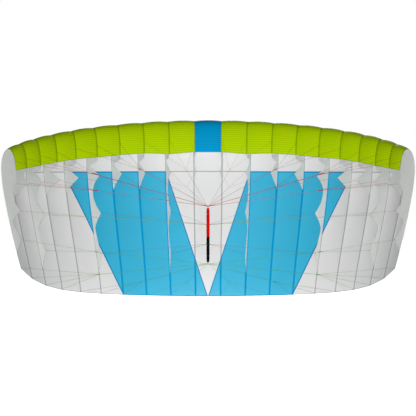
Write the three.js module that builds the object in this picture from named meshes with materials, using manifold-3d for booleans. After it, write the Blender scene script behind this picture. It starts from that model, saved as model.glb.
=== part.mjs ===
// A single-skin parawing in flight: a canopy of nineteen sewn cells on twenty cloth ribs, the band of doubled
// cloth round its leading edge, the lines, and the short hand bar that every line runs to.
// Sizes are in millimetres. +X points to the tip on the holder's right, +Y from the bar to the canopy and
// +Z from the trailing edge to the leading edge. The origin is the middle of the bar.
import * as THREE from "three";
import { mergeVertices } from "three/addons/utils/BufferGeometryUtils.js";
import loadManifold from "manifold-3d";

const wasm = await loadManifold();
wasm.setup();

// Cloth, and the space left between neighbouring pieces
const CLOTH = 1.2;
const GAP = 0.3;
const MERGE_DISTANCE = 1e-3;

// Plan of the canopy: it bends round an upright axis, with the trailing edge on the arc's radius
const CELLS_PER_SIDE = 9;
const RIBS_PER_SIDE = CELLS_PER_SIDE + 1;
const CENTRE_CELL = 224;
const TIP_CELL_LOSS = 0.46;
const CELL_LOSS_POWER = 2.2;
const ARC_RADIUS = 1890;
const BAR_TO_TRAILING_EDGE = 2320;
const LEADING_EDGE_Z = 979;
const LEADING_EDGE_DROP = 295;
const LEADING_EDGE_TIP_DROP = 19;
const TRAILING_EDGE_Z = -617;
const TRAILING_EDGE_RISE = 146;
const TRAILING_EDGE_TIP_RISE = 153;
const TIP_CURVE_POWER = 9;

// Section of a cell, in shares of the chord: back runs from the nose to the trailing edge, and out runs away
// from the bar. The nose and the tail reach further out at the tips.
const NOSE_OUT = 0.13;
const TIP_NOSE_SWELL = 0.19;
const TIP_SWELL_POWER = 7;
const TIP_TAIL_SWELL = 0.2;
const TAIL_SWELL_POWER = 4;
const TIP_SHARE_POWER = 5;
const OUTER_SWELL = 0.36;
const OUTER_TAPER = 1.47;
const INNER_FALL = 0.296;
const INNER_LIFT = 0.308;
const LIP_BACK = 0.177;
const BAND_BACK = 0.03;
const BAND_SPLIT = 0.0003;
const SLOPE_STEP = 1e-4;

// Bulge of the cloth between two ribs, in shares of the cell's width, and the shares of it at the nose and the lip.
// The cells at the tips are full from the nose on.
const BILLOW = 0.072;
const NOSE_FULLNESS = 0.5;
const TIP_NOSE_FULLNESS = 0.95;
const LIP_FULLNESS = 0.35;
const FULL_BILLOW_STEP = 0.55;
const TAIL_BILLOW_POWER = 4;

// Steps of the cloth's surface
const CELL_COLUMNS = 4;
const GORE_ROWS = 12;
const BAND_ROWS = 8;
const FLARE_STEPS = 4;

// Free edge of a rib: the depth of its teeth and hollows under the skin, from the leading edge back, on the inner
// ribs and at the tip, where the hollows are shallow, and how straight the edge runs up to each of them from the
// point in front of it
const STRAIGHT_BEND = 0.85;
const LIP_TAB = { back: 0.204, depth: 0.155, tipDepth: 0.175, bend: STRAIGHT_BEND };
const FRONT_HOLLOW = { back: 0.227, depth: 0.035, tipDepth: 0.165, bend: STRAIGHT_BEND };
const TOOTH_B = { back: 0.293, depth: 0.182, tipDepth: 0.178, bend: STRAIGHT_BEND };
const SHORT_RIB_END = { back: 0.383, depth: 0.004, tipDepth: 0.004, bend: STRAIGHT_BEND };
const MIDDLE_HOLLOW = { back: 0.383, depth: 0.06, tipDepth: 0.115, bend: 0.55 };
const TOOTH_C = { back: 0.519, depth: 0.15, tipDepth: 0.163, bend: 0.5 };
const BACK_HOLLOW = { back: 0.608, depth: 0.033, tipDepth: 0.045, bend: 0.7 };
const TOOTH_D = { back: 0.76, depth: 0.07, tipDepth: 0.1, bend: STRAIGHT_BEND };
const LONG_RIB_END = { back: 0.87, depth: 0.004, tipDepth: 0.004, bend: STRAIGHT_BEND };
const SHORT_RIB_EDGE = [LIP_TAB, FRONT_HOLLOW, TOOTH_B, SHORT_RIB_END];
const LONG_RIB_EDGE = [
  LIP_TAB,
  FRONT_HOLLOW,
  TOOTH_B,
  MIDDLE_HOLLOW,
  TOOTH_C,
  BACK_HOLLOW,
  TOOTH_D,
  LONG_RIB_END,
];
const LONG_RIBS = [2, 5, 8, 10];

// Hand bar
const BAR_LENGTH = 358;
const BAR_RADIUS = 10.2;
const BAR_TIP_RADIUS = 5.4;
const BAR_CAP = 39;
const BAR_CAP_STEPS = 5;
const GRIP_JOINT_Z = -12;
const BAR_SIDES = 16;
const COLLAR_WALL = 1.5;
const COLLAR_HEIGHT = 9;
const COLLAR_C_Z = 68;
const COLLAR_D_Z = -61;
const TAB_THICKNESS = 3;
const TAB_WIDTH = 11;
const TAB_REACH = 16;
const TAB_STEPS = 5;
const COLLAR_TAB = 12;

// Lines: the branches to the ribs are fine, and the main lines and their forks come in three weights
const LINE_RADIUS = 0.8;
const ANCHOR_KNOT = { radius: 3.2, length: 6.4 };
const LIGHT = { radius: 1.1, knot: { radius: 2.6, length: 12 } };
const SPLICED = { radius: 1.1, knot: { radius: 3.6, length: 44 } };
const STRONG = { radius: 1.5, knot: { radius: 4, length: 66 } };
const LINE_SIDES = 5;
const LINE_SEAT = 0.6;
const POINT_A_BACK = 0.11;
const TRAILING_POINT_BACK = 0.994;

// Each tree runs from one place on the bar to the same point of several ribs. Its fork lies at a share of the
// way from the bar to the middle of those points, and a tree without a fork runs straight.
const LINE_SETS = [
  {
    name: "front_lines",
    colour: 0xc3122f,
    anchor: "front",
    trees: [
      { point: "a", ribs: [1, 2, 3], fork: 0.47, weight: LIGHT },
      { point: "a", ribs: [4, 5, 6], fork: 0.53, weight: SPLICED },
      { point: "a", ribs: [7, 8, 9, 10], fork: 0.577, weight: STRONG },
      { point: "b", ribs: [1, 2, 3], fork: 0.47, weight: LIGHT },
      { point: "b", ribs: [4, 5, 6], fork: 0.53, weight: SPLICED },
      { point: "b", ribs: [7, 8, 9, 10], fork: 0.59, weight: SPLICED },
    ],
  },
  {
    name: "middle_lines",
    colour: 0x9a9a3c,
    anchor: "collarC",
    trees: [
      { point: "c", ribs: [2], fork: null },
      { point: "c", ribs: [5], fork: null },
      { point: "c", ribs: [8, 10], fork: 0.58, weight: LIGHT },
    ],
  },
  {
    name: "back_lines",
    colour: 0x8a937a,
    anchor: "collarD",
    trees: [
      { point: "d", ribs: [2], fork: null },
      { point: "d", ribs: [5], fork: null },
    ],
  },
  {
    name: "rear_lines",
    colour: 0x6fae5a,
    anchor: "rear",
    trees: [
      { point: "d", ribs: [8, 10], fork: 0.58, weight: LIGHT },
      { point: "trailing", ribs: [1, 2, 3], fork: 0.48, weight: LIGHT },
      { point: "trailing", ribs: [4, 5, 6], fork: 0.55, weight: LIGHT },
      { point: "trailing", ribs: [7, 8, 9, 10], fork: 0.59, weight: SPLICED },
    ],
  },
];

// Finishes
const WHITE_CLOTH = { color: 0xdcdde0, roughness: 0.55, metalness: 0 };
const BLUE_CLOTH = { color: 0x2ba7d8, roughness: 0.55, metalness: 0 };
const GREEN_CLOTH = { color: 0xa6d51a, roughness: 0.5, metalness: 0 };
const RIB_CLOTH = { color: 0xcdd2cf, roughness: 0.6, metalness: 0 };
const RED_GRIP = { color: 0xc4060c, roughness: 0.7, metalness: 0 };
const BLACK_GRIP = { color: 0x0c0c0d, roughness: 0.7, metalness: 0 };
const RED_WEBBING = { color: 0xa8080e, roughness: 0.8, metalness: 0 };
const BLACK_WEBBING = { color: 0x1a1a1c, roughness: 0.8, metalness: 0 };
const LINE_FINISH = { roughness: 0.65, metalness: 0 };

const UP = new THREE.Vector3(0, 0, 1);
const ARC_AXIS_Y = BAR_TO_TRAILING_EDGE - ARC_RADIUS;
const RIB_COUNT = 2 * RIBS_PER_SIDE;
const CENTRE_CELL_INDEX = RIBS_PER_SIDE - 1;
const LIP_STEP = -Math.sqrt(LIP_BACK);
const BAND_STEP = Math.sqrt(BAND_BACK);
const BAND_STEPS = evenSteps(LIP_STEP, BAND_STEP - BAND_SPLIT, BAND_ROWS);
const GORE_STEPS = evenSteps(BAND_STEP + BAND_SPLIT, 1, GORE_ROWS);

function evenSteps(first, last, count) {
  return Array.from({ length: count + 1 }, (_, row) => first + ((last - first) * row) / count);
}

function named(name, geometry, finish) {
  const mesh = new THREE.Mesh(geometry, new THREE.MeshStandardMaterial(finish));
  mesh.name = name;
  return mesh;
}

// Booleans

function solidOf(geometry) {
  const bare = geometry.clone();
  bare.deleteAttribute("normal");
  bare.deleteAttribute("uv");
  const merged = mergeVertices(bare, MERGE_DISTANCE);
  return new wasm.Manifold(
    new wasm.Mesh({
      numProp: 3,
      vertProperties: new Float32Array(merged.attributes.position.array),
      triVerts: new Uint32Array(merged.index.array),
    }),
  );
}

function geometryOf(solid) {
  const mesh = solid.getMesh();
  const geometry = new THREE.BufferGeometry();
  geometry.setAttribute("position", new THREE.BufferAttribute(mesh.vertProperties, 3));
  geometry.setIndex(new THREE.BufferAttribute(mesh.triVerts, 1));
  return geometry;
}

function joined(geometries) {
  const [first, ...others] = geometries.map(solidOf);
  return geometryOf(others.reduce((whole, next) => whole.add(next), first));
}

// Ribs are counted from the left tip to the right tip, and cell i lies between ribs i and i + 1

// How far a cell lies from the middle of the wing, 1 at the tips
function cellShare(index) {
  return Math.abs(index - CENTRE_CELL_INDEX) / CELLS_PER_SIDE;
}

function cellWidth(index) {
  return CENTRE_CELL * (1 - TIP_CELL_LOSS * cellShare(index) ** CELL_LOSS_POWER);
}

const ribAngles = [0];
for (let index = 0; index < RIB_COUNT - 1; index += 1) {
  ribAngles.push(ribAngles[index] + cellWidth(index) / ARC_RADIUS);
}
const tipAngle = ribAngles[RIB_COUNT - 1] / 2;

const ribPlanes = ribAngles.map((sweep) => {
  const angle = sweep - tipAngle;
  const share = Math.abs(angle) / tipAngle;
  const tip = share ** TIP_CURVE_POWER;
  const nose = LEADING_EDGE_Z - LEADING_EDGE_DROP * share ** 2 - LEADING_EDGE_TIP_DROP * tip;
  const tail = TRAILING_EDGE_Z + TRAILING_EDGE_RISE * share ** 2 + TRAILING_EDGE_TIP_RISE * tip;
  return {
    outward: new THREE.Vector3(Math.sin(angle), Math.cos(angle), 0),
    nose,
    chord: nose - tail,
    noseSwell: 1 + TIP_NOSE_SWELL * share ** TIP_SWELL_POWER,
    tipShare: share ** TIP_SHARE_POWER,
  };
});

// A step along a cell's section: negative from the lip to the nose, positive from there to the trailing edge

function sectionAt({ noseSwell, tipShare }, step) {
  const back = step * step;
  if (step < 0) {
    return { back, out: (NOSE_OUT + INNER_FALL * step) * noseSwell + INNER_LIFT * back };
  }
  const swell = OUTER_SWELL * step * (1 - back) ** OUTER_TAPER;
  const tail = TIP_TAIL_SWELL * tipShare * back ** TAIL_SWELL_POWER;
  return { back, out: swell + (NOSE_OUT * noseSwell + tail) * (1 - back) };
}

function sectionNormal(plane, step) {
  const before = sectionAt(plane, Math.max(step - SLOPE_STEP, LIP_STEP));
  const after = sectionAt(plane, Math.min(step + SLOPE_STEP, 1));
  return new THREE.Vector2(after.back - before.back, after.out - before.out).normalize();
}

// A point on a rib's section, moved off the skin by a lift: its reach beyond the arc's radius, and its height
function ribPoint(plane, step, lift) {
  const { back, out } = sectionAt(plane, step);
  const normal = sectionNormal(plane, step);
  return {
    out: out * plane.chord + normal.x * lift,
    z: plane.nose - back * plane.chord + normal.y * lift,
  };
}

function placed(plane, { out, z }) {
  return plane.outward
    .clone()
    .multiplyScalar(ARC_RADIUS + out)
    .add(new THREE.Vector3(0, ARC_AXIS_Y, z));
}

// The share of the full bulge that a cell's cloth has at a step along its section
function fullnessAt(index, step) {
  const nose = NOSE_FULLNESS + (TIP_NOSE_FULLNESS - NOSE_FULLNESS) * cellShare(index) ** 2;
  if (step < 0) {
    return nose + (LIP_FULLNESS - nose) * (step / LIP_STEP) ** 2;
  }
  const filled = nose + (1 - nose) * Math.min(1, step / FULL_BILLOW_STEP);
  return filled * (1 - step ** TAIL_BILLOW_POWER);
}

function billowAt(index, across, step) {
  return BILLOW * cellWidth(index) * fullnessAt(index, step) * 4 * across * (1 - across);
}

// A point on the skin between two ribs, with the share of the cell's width from the left rib
function skinPoint(index, across, step, lift) {
  const height = lift + billowAt(index, across, step);
  const left = placed(ribPlanes[index], ribPoint(ribPlanes[index], step, height));
  const right = placed(ribPlanes[index + 1], ribPoint(ribPlanes[index + 1], step, height));
  return left.lerp(right, across);
}

// A closed sheet: a grid of points on the cloth's outer face and the same grid on its inner face

function sheet(steps, columns, pointAt) {
  const rows = steps.length - 1;
  const wide = columns + 1;
  const layer = wide * (rows + 1);
  const positions = [];
  for (const lift of [CLOTH / 2, -CLOTH / 2]) {
    for (const step of steps) {
      for (let column = 0; column <= columns; column += 1) {
        positions.push(...pointAt(step, column, lift));
      }
    }
  }
  const faces = [];
  const quad = (a, b, c, d) => faces.push(a, b, c, a, c, d);
  for (let row = 0; row < rows; row += 1) {
    for (let column = 0; column < columns; column += 1) {
      const a = row * wide + column;
      quad(a, a + 1, a + wide + 1, a + wide);
      quad(layer + a, layer + a + wide, layer + a + wide + 1, layer + a + 1);
    }
  }
  for (let column = 0; column < columns; column += 1) {
    const last = rows * wide + column;
    quad(column + 1, column, layer + column, layer + column + 1);
    quad(last, last + 1, layer + last + 1, layer + last);
  }
  for (let row = 0; row < rows; row += 1) {
    const start = row * wide;
    const end = start + columns;
    quad(start, start + wide, layer + start + wide, layer + start);
    quad(end + wide, end, layer + end, layer + end + wide);
  }
  const geometry = new THREE.BufferGeometry();
  geometry.setAttribute("position", new THREE.Float32BufferAttribute(positions, 3));
  geometry.setIndex(faces);
  return geometry;
}

// The cells first to last as one sheet, half a gap inside the outer ribs of the run
function skinSheet(firstCell, lastCell, steps) {
  const columns = (lastCell - firstCell + 1) * CELL_COLUMNS;
  return sheet(steps, columns, (step, column, lift) => {
    const index = Math.min(firstCell + Math.floor(column / CELL_COLUMNS), lastCell);
    const inset = GAP / 2 / cellWidth(index);
    let across = column / CELL_COLUMNS - (index - firstCell);
    across = column === 0 ? inset : across;
    across = column === columns ? 1 - inset : across;
    return skinPoint(index, across, step, lift);
  });
}

// Names count outwards from the middle of the canopy

function sideName(offset) {
  return offset < 0 ? `left_${-offset}` : `right_${offset}`;
}

function goreName(index) {
  const offset = index - CENTRE_CELL_INDEX;
  return offset === 0 ? "gore_centre" : `gore_${sideName(offset)}`;
}

function ribNumber(index) {
  return index < RIBS_PER_SIDE ? index - RIBS_PER_SIDE : index - RIBS_PER_SIDE + 1;
}

function ribIndex(side, number) {
  return side < 0 ? RIBS_PER_SIDE - number : RIBS_PER_SIDE + number - 1;
}

function gores() {
  const group = new THREE.Group();
  for (let index = 0; index < RIB_COUNT - 1; index += 1) {
    group.add(named(goreName(index), skinSheet(index, index, GORE_STEPS), WHITE_CLOTH));
  }
  return group;
}

function leadingEdgeBand() {
  const last = RIB_COUNT - 2;
  const middle = CENTRE_CELL_INDEX;
  const group = new THREE.Group();
  group.add(named("band_left", skinSheet(0, middle - 1, BAND_STEPS), GREEN_CLOTH));
  group.add(named("band_centre", skinSheet(middle, middle, BAND_STEPS), BLUE_CLOTH));
  group.add(named("band_right", skinSheet(middle + 1, last, BAND_STEPS), GREEN_CLOTH));
  return group;
}

// A point of a rib's free edge, by its depth under the skin
function edgePoint(plane, { back, depth, tipDepth, bend }) {
  const { out } = sectionAt(plane, Math.sqrt(back));
  const depthHere = depth + (tipDepth - depth) * plane.tipShare;
  return { out: (out - depthHere) * plane.chord, z: plane.nose - back * plane.chord, bend };
}

// The seam of a rib follows the flats of the skin above it, one gap under the cloth, and ends between rows
function ribSeam(plane, endStep) {
  const seat = -(CLOTH / 2 + GAP);
  const seamPoint = (step) => {
    const { out, z } = ribPoint(plane, step, seat);
    return new THREE.Vector2(out, z);
  };
  const nextRow = GORE_STEPS.findIndex((step) => step >= endStep);
  const [before, after] = [GORE_STEPS[nextRow - 1], GORE_STEPS[nextRow]];
  const end = seamPoint(before).lerp(seamPoint(after), (endStep - before) / (after - before));
  const rows = [...BAND_STEPS, ...GORE_STEPS.slice(0, nextRow)];
  return [...rows.map(seamPoint), end];
}

function ribOutline(plane, edge) {
  const shape = new THREE.Shape(ribSeam(plane, Math.sqrt(edge[edge.length - 1].back)));
  const points = edge.map((point) => edgePoint(plane, point)).reverse();
  shape.lineTo(points[0].out, points[0].z);
  for (let next = 1; next < points.length; next += 1) {
    const from = points[next - 1];
    const to = points[next];
    const hollow = from.out > to.out ? from : to;
    const tooth = from.out > to.out ? to : from;
    const bendZ = tooth.z + (hollow.z - tooth.z) * from.bend;
    shape.quadraticCurveTo(hollow.out, bendZ, to.out, to.z);
  }
  shape.closePath();
  return shape;
}

function ribs() {
  const group = new THREE.Group();
  ribPlanes.forEach((plane, index) => {
    const number = ribNumber(index);
    const edge = LONG_RIBS.includes(Math.abs(number)) ? LONG_RIB_EDGE : SHORT_RIB_EDGE;
    const geometry = new THREE.ExtrudeGeometry(ribOutline(plane, edge), {
      depth: CLOTH,
      bevelEnabled: false,
      curveSegments: FLARE_STEPS,
    });
    geometry.translate(ARC_RADIUS, 0, -CLOTH / 2);
    const rib = named(`rib_${sideName(number)}`, geometry, RIB_CLOTH);
    const across = new THREE.Vector3().crossVectors(plane.outward, UP);
    rib.quaternion.setFromRotationMatrix(new THREE.Matrix4().makeBasis(plane.outward, UP, across));
    rib.position.set(0, ARC_AXIS_Y, 0);
    group.add(rib);
  });
  return group;
}

// Hand bar

function turned(profile) {
  const points = profile.map(([radius, z]) => new THREE.Vector2(radius, z));
  return new THREE.LatheGeometry(points, BAR_SIDES).rotateX(Math.PI / 2);
}

function grip(bottom, top) {
  return turned([
    [0, bottom],
    [BAR_RADIUS, bottom],
    [BAR_RADIUS, top],
    [0, top],
  ]);
}

// The rounded end of the bar, up to a small flat tip
function barCap() {
  const start = BAR_LENGTH / 2 - BAR_CAP + GAP / 2;
  const height = BAR_LENGTH / 2 - start;
  const profile = [[0, start]];
  for (let row = 0; row <= BAR_CAP_STEPS; row += 1) {
    const angle = (Math.PI / 2) * (row / BAR_CAP_STEPS);
    const radius = BAR_TIP_RADIUS + (BAR_RADIUS - BAR_TIP_RADIUS) * Math.cos(angle);
    profile.push([radius, start + height * Math.sin(angle)]);
  }
  profile.push([0, BAR_LENGTH / 2]);
  return turned(profile);
}

// A webbing tab with a round end, standing up from the bar's end
function endTab() {
  const half = TAB_WIDTH / 2;
  const shape = new THREE.Shape();
  shape.moveTo(-half, 0);
  shape.lineTo(half, 0);
  shape.lineTo(half, TAB_REACH - half);
  shape.absarc(0, TAB_REACH - half, half, 0, Math.PI, false);
  shape.closePath();
  const geometry = new THREE.ExtrudeGeometry(shape, {
    depth: TAB_THICKNESS,
    bevelEnabled: false,
    curveSegments: TAB_STEPS,
  });
  geometry.translate(0, 0, -TAB_THICKNESS / 2);
  return geometry.rotateX(Math.PI / 2).rotateZ(Math.PI / 2);
}

// A band of webbing round the grip with a tab towards the canopy
function collar() {
  const inside = BAR_RADIUS + GAP;
  const outside = inside + COLLAR_WALL;
  const half = COLLAR_HEIGHT / 2;
  const band = turned([
    [inside, -half],
    [outside, -half],
    [outside, half],
    [inside, half],
    [inside, -half],
  ]);
  const start = inside + COLLAR_WALL / 2;
  const tab = new THREE.BoxGeometry(TAB_THICKNESS, COLLAR_TAB, COLLAR_HEIGHT);
  tab.translate(0, start + COLLAR_TAB / 2, 0);
  return joined([band, tab]);
}

function handBar() {
  const end = BAR_LENGTH / 2;
  const gripEnd = end - BAR_CAP - GAP / 2;
  const group = new THREE.Group();
  group.add(named("grip_front", grip(GRIP_JOINT_Z + GAP / 2, gripEnd), RED_GRIP));
  group.add(named("grip_rear", grip(-gripEnd, GRIP_JOINT_Z - GAP / 2), BLACK_GRIP));
  const capFront = named("cap_front", barCap(), RED_GRIP);
  const capRear = named("cap_rear", barCap(), BLACK_GRIP);
  capRear.rotation.y = Math.PI;
  const tabFront = named("tab_front", endTab(), RED_WEBBING);
  tabFront.position.z = end + GAP;
  const tabRear = named("tab_rear", endTab(), BLACK_WEBBING);
  tabRear.rotation.y = Math.PI;
  tabRear.position.z = -end - GAP;
  const collarC = named("collar_c", collar(), RED_WEBBING);
  collarC.position.z = COLLAR_C_Z;
  const collarD = named("collar_d", collar(), BLACK_WEBBING);
  collarD.position.z = COLLAR_D_Z;
  group.add(capFront, capRear, tabFront, tabRear, collarC, collarD);
  return group;
}

// Lines

const tabAnchorZ = BAR_LENGTH / 2 + GAP + TAB_REACH - TAB_WIDTH / 2;
const collarAnchorY = BAR_RADIUS + GAP + COLLAR_WALL / 2 + COLLAR_TAB - COLLAR_HEIGHT / 2;
const ANCHORS = {
  front: { y: 0, z: tabAnchorZ },
  rear: { y: 0, z: -tabAnchorZ },
  collarC: { y: collarAnchorY, z: COLLAR_C_Z },
  collarD: { y: collarAnchorY, z: COLLAR_D_Z },
};

function anchorPoint(anchor, side) {
  const { y, z } = ANCHORS[anchor];
  return new THREE.Vector3(side * (TAB_THICKNESS / 2 + GAP + ANCHOR_KNOT.radius), y, z);
}

// A line ends on a tooth's tip, or on a face of the skin, which then also gives the way out of that face

function onTooth(tooth) {
  return (plane) => ({ point: placed(plane, edgePoint(plane, tooth)) });
}

function onSkin(step, lift) {
  return (plane) => {
    const point = placed(plane, ribPoint(plane, step, lift));
    return { point, away: placed(plane, ribPoint(plane, step, 2 * lift)).sub(point).normalize() };
  };
}

const RIB_POINTS = {
  a: onSkin(-Math.sqrt(POINT_A_BACK), CLOTH / 2),
  b: onTooth(TOOTH_B),
  c: onTooth(TOOTH_C),
  d: onTooth(TOOTH_D),
  trailing: onSkin(Math.sqrt(TRAILING_POINT_BACK), -CLOTH / 2),
};

// The middle of a line's end face, so that the whole face clears the cloth that carries it
function lineEnd({ point, away }, fork) {
  const along = fork.clone().sub(point).normalize();
  if (away === undefined) {
    return along.multiplyScalar(LINE_SEAT).add(point);
  }
  const slant = Math.sqrt(1 - along.dot(away) ** 2);
  return point.clone().addScaledVector(away, LINE_SEAT + LINE_RADIUS * slant);
}

// A shape made along +Y, stretched, turned along a line and put at a point
function aimed(geometry, point, along, stretch) {
  const turn = new THREE.Quaternion().setFromUnitVectors(new THREE.Vector3(0, 1, 0), along);
  return geometry.applyMatrix4(new THREE.Matrix4().compose(point, turn, stretch));
}

function lineBetween(start, end, radius) {
  const along = end.clone().sub(start);
  const stretch = new THREE.Vector3(radius, along.length(), radius);
  const geometry = new THREE.CylinderGeometry(1, 1, 1, LINE_SIDES);
  return aimed(geometry, start.clone().lerp(end, 0.5), along.normalize(), stretch);
}

function knotAt(point, along, { radius, length }) {
  const stretch = new THREE.Vector3(radius, length / 2, radius);
  return aimed(new THREE.IcosahedronGeometry(1, 0), point, along, stretch);
}

function lineTree(start, tree, side) {
  const seats = tree.ribs.map((number) => RIB_POINTS[tree.point](ribPlanes[ribIndex(side, number)]));
  if (tree.fork === null) {
    return seats.map((seat) => lineBetween(start, lineEnd(seat, start), LINE_RADIUS));
  }
  const middle = new THREE.Vector3();
  seats.forEach(({ point }) => middle.addScaledVector(point, 1 / seats.length));
  const fork = start.clone().lerp(middle, tree.fork);
  const main = lineBetween(start, fork, tree.weight.radius);
  const knot = knotAt(fork, fork.clone().sub(start).normalize(), tree.weight.knot);
  const branches = seats.map((seat) => lineBetween(fork, lineEnd(seat, fork), LINE_RADIUS));
  return [main, knot, ...branches];
}

function lines() {
  const group = new THREE.Group();
  for (const set of LINE_SETS) {
    for (const side of [-1, 1]) {
      const start = anchorPoint(set.anchor, side);
      const knot = knotAt(start, UP, ANCHOR_KNOT);
      const pieces = [knot, ...set.trees.flatMap((tree) => lineTree(start, tree, side))];
      const name = `${set.name}_${side < 0 ? "left" : "right"}`;
      group.add(named(name, joined(pieces), { color: set.colour, ...LINE_FINISH }));
    }
  }
  return group;
}

const parawing = new THREE.Group();
parawing.add(gores(), leadingEdgeBand(), ribs(), handBar(), lines());

export default parawing;
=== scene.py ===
"""The looks of a single-skin parawing in flight: canopy, leading edge band, ribs, lines and hand bar.

Sizes are in metres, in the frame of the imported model: +X points to the tip on the holder's right, +Y from the
bar to the canopy and +Z from the trailing edge to the leading edge. The origin is the middle of the bar.
"""

from __future__ import annotations

import logging
import math
from abc import ABC, abstractmethod
from dataclasses import dataclass, field, replace
from enum import Enum
from functools import cached_property
from typing import Any, Callable, Iterator, NamedTuple, Sequence, Union

import bmesh
import bpy
from mathutils import Matrix, Vector, noise


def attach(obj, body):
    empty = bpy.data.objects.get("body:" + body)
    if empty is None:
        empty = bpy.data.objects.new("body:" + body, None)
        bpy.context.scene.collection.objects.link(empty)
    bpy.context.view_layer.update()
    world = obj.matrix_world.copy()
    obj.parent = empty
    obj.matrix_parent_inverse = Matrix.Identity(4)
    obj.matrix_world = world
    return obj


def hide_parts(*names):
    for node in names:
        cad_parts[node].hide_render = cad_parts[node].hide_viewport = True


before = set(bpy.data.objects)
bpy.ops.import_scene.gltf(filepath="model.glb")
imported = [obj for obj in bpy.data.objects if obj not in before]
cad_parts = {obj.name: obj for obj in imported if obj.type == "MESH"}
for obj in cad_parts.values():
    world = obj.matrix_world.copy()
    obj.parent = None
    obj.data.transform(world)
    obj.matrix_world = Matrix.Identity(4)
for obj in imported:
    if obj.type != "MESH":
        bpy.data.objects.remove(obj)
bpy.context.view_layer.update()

BODY = "root"
LOG = logging.getLogger("parawing")

# Names of the flat map and of the distances that a mesh keeps, and the distance that stands for no seam

CLOTH_MAP = "cloth"
SEAM = "seam"
CROSS = "cross"
PANEL = "panel"
ALONG = "along"
FAR = 9.0

Colour = tuple[float, float, float]
Value = Union["Sock", float, Sequence[float]]


class Side(Enum):
    """The half of the wing that a piece belongs to, with the sign of its x."""

    LEFT = -1
    RIGHT = 1

    @property
    def word(self) -> str:
        """The side's name as the nodes spell it."""
        return self.name.lower()


class RibPoint(Enum):
    """The places on a rib that carry a line, from the leading edge back."""

    A = "a"
    B = "b"
    C = "c"
    D = "d"
    TRAILING = "trailing"


class Anchor(Enum):
    """The places on the hand bar that carry a set of lines."""

    FRONT = "front"
    COLLAR_C = "collar_c"
    COLLAR_D = "collar_d"
    REAR = "rear"


# Shader expressions


class Sock:
    """An output socket. Its operators add Math nodes to the socket's own tree."""

    def __init__(self, graph: Graph, socket: bpy.types.NodeSocket) -> None:
        """Keeps the socket together with its graph."""
        self.graph = graph
        self.socket = socket

    def _math(self, operation: str, first: Value, second: Value = 0.0) -> Sock:
        """Adds a Math node and returns its result."""
        return self.graph.out("ShaderNodeMath", {"operation": operation}, {0: first, 1: second})

    def __add__(self, other: Value) -> Sock:
        """Adds two values."""
        return self._math("ADD", self, other)

    __radd__ = __add__

    def __sub__(self, other: Value) -> Sock:
        """Takes another value from this one."""
        return self._math("SUBTRACT", self, other)

    def __rsub__(self, other: Value) -> Sock:
        """Takes this value from another one."""
        return self._math("SUBTRACT", other, self)

    def __mul__(self, other: Value) -> Sock:
        """Multiplies two values."""
        return self._math("MULTIPLY", self, other)

    __rmul__ = __mul__

    def __truediv__(self, other: Value) -> Sock:
        """Divides this value by another one."""
        return self._math("DIVIDE", self, other)

    def __mod__(self, other: Value) -> Sock:
        """The remainder of this value, never negative."""
        return self._math("FLOORED_MODULO", self, other)

    def __lt__(self, other: Value) -> Sock:
        """One where this value is the smaller."""
        return self._math("LESS_THAN", self, other)

    def __abs__(self) -> Sock:
        """The value without its sign."""
        return self._math("ABSOLUTE", self)

    def smaller(self, other: Value) -> Sock:
        """The smaller of two values."""
        return self._math("MINIMUM", self, other)

    def wave(self, length: float) -> Sock:
        """A wave between 0 and 1 that repeats over a length."""
        return self._math("SINE", self * (math.tau / length)) * 0.5 + 0.5

    def ramp(self, low: float, high: float) -> Sock:
        """A soft rise from 0 at low to 1 at high.

        Args:
            low: the value that gives 0.
            high: the value that gives 1, which may be the smaller of the two.

        Returns:
            The socket of the eased share.
        """
        settings = {"interpolation_type": "SMOOTHSTEP"}
        inputs = {"Value": self, "From Min": low, "From Max": high}
        return self.graph.out("ShaderNodeMapRange", settings, inputs)


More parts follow.
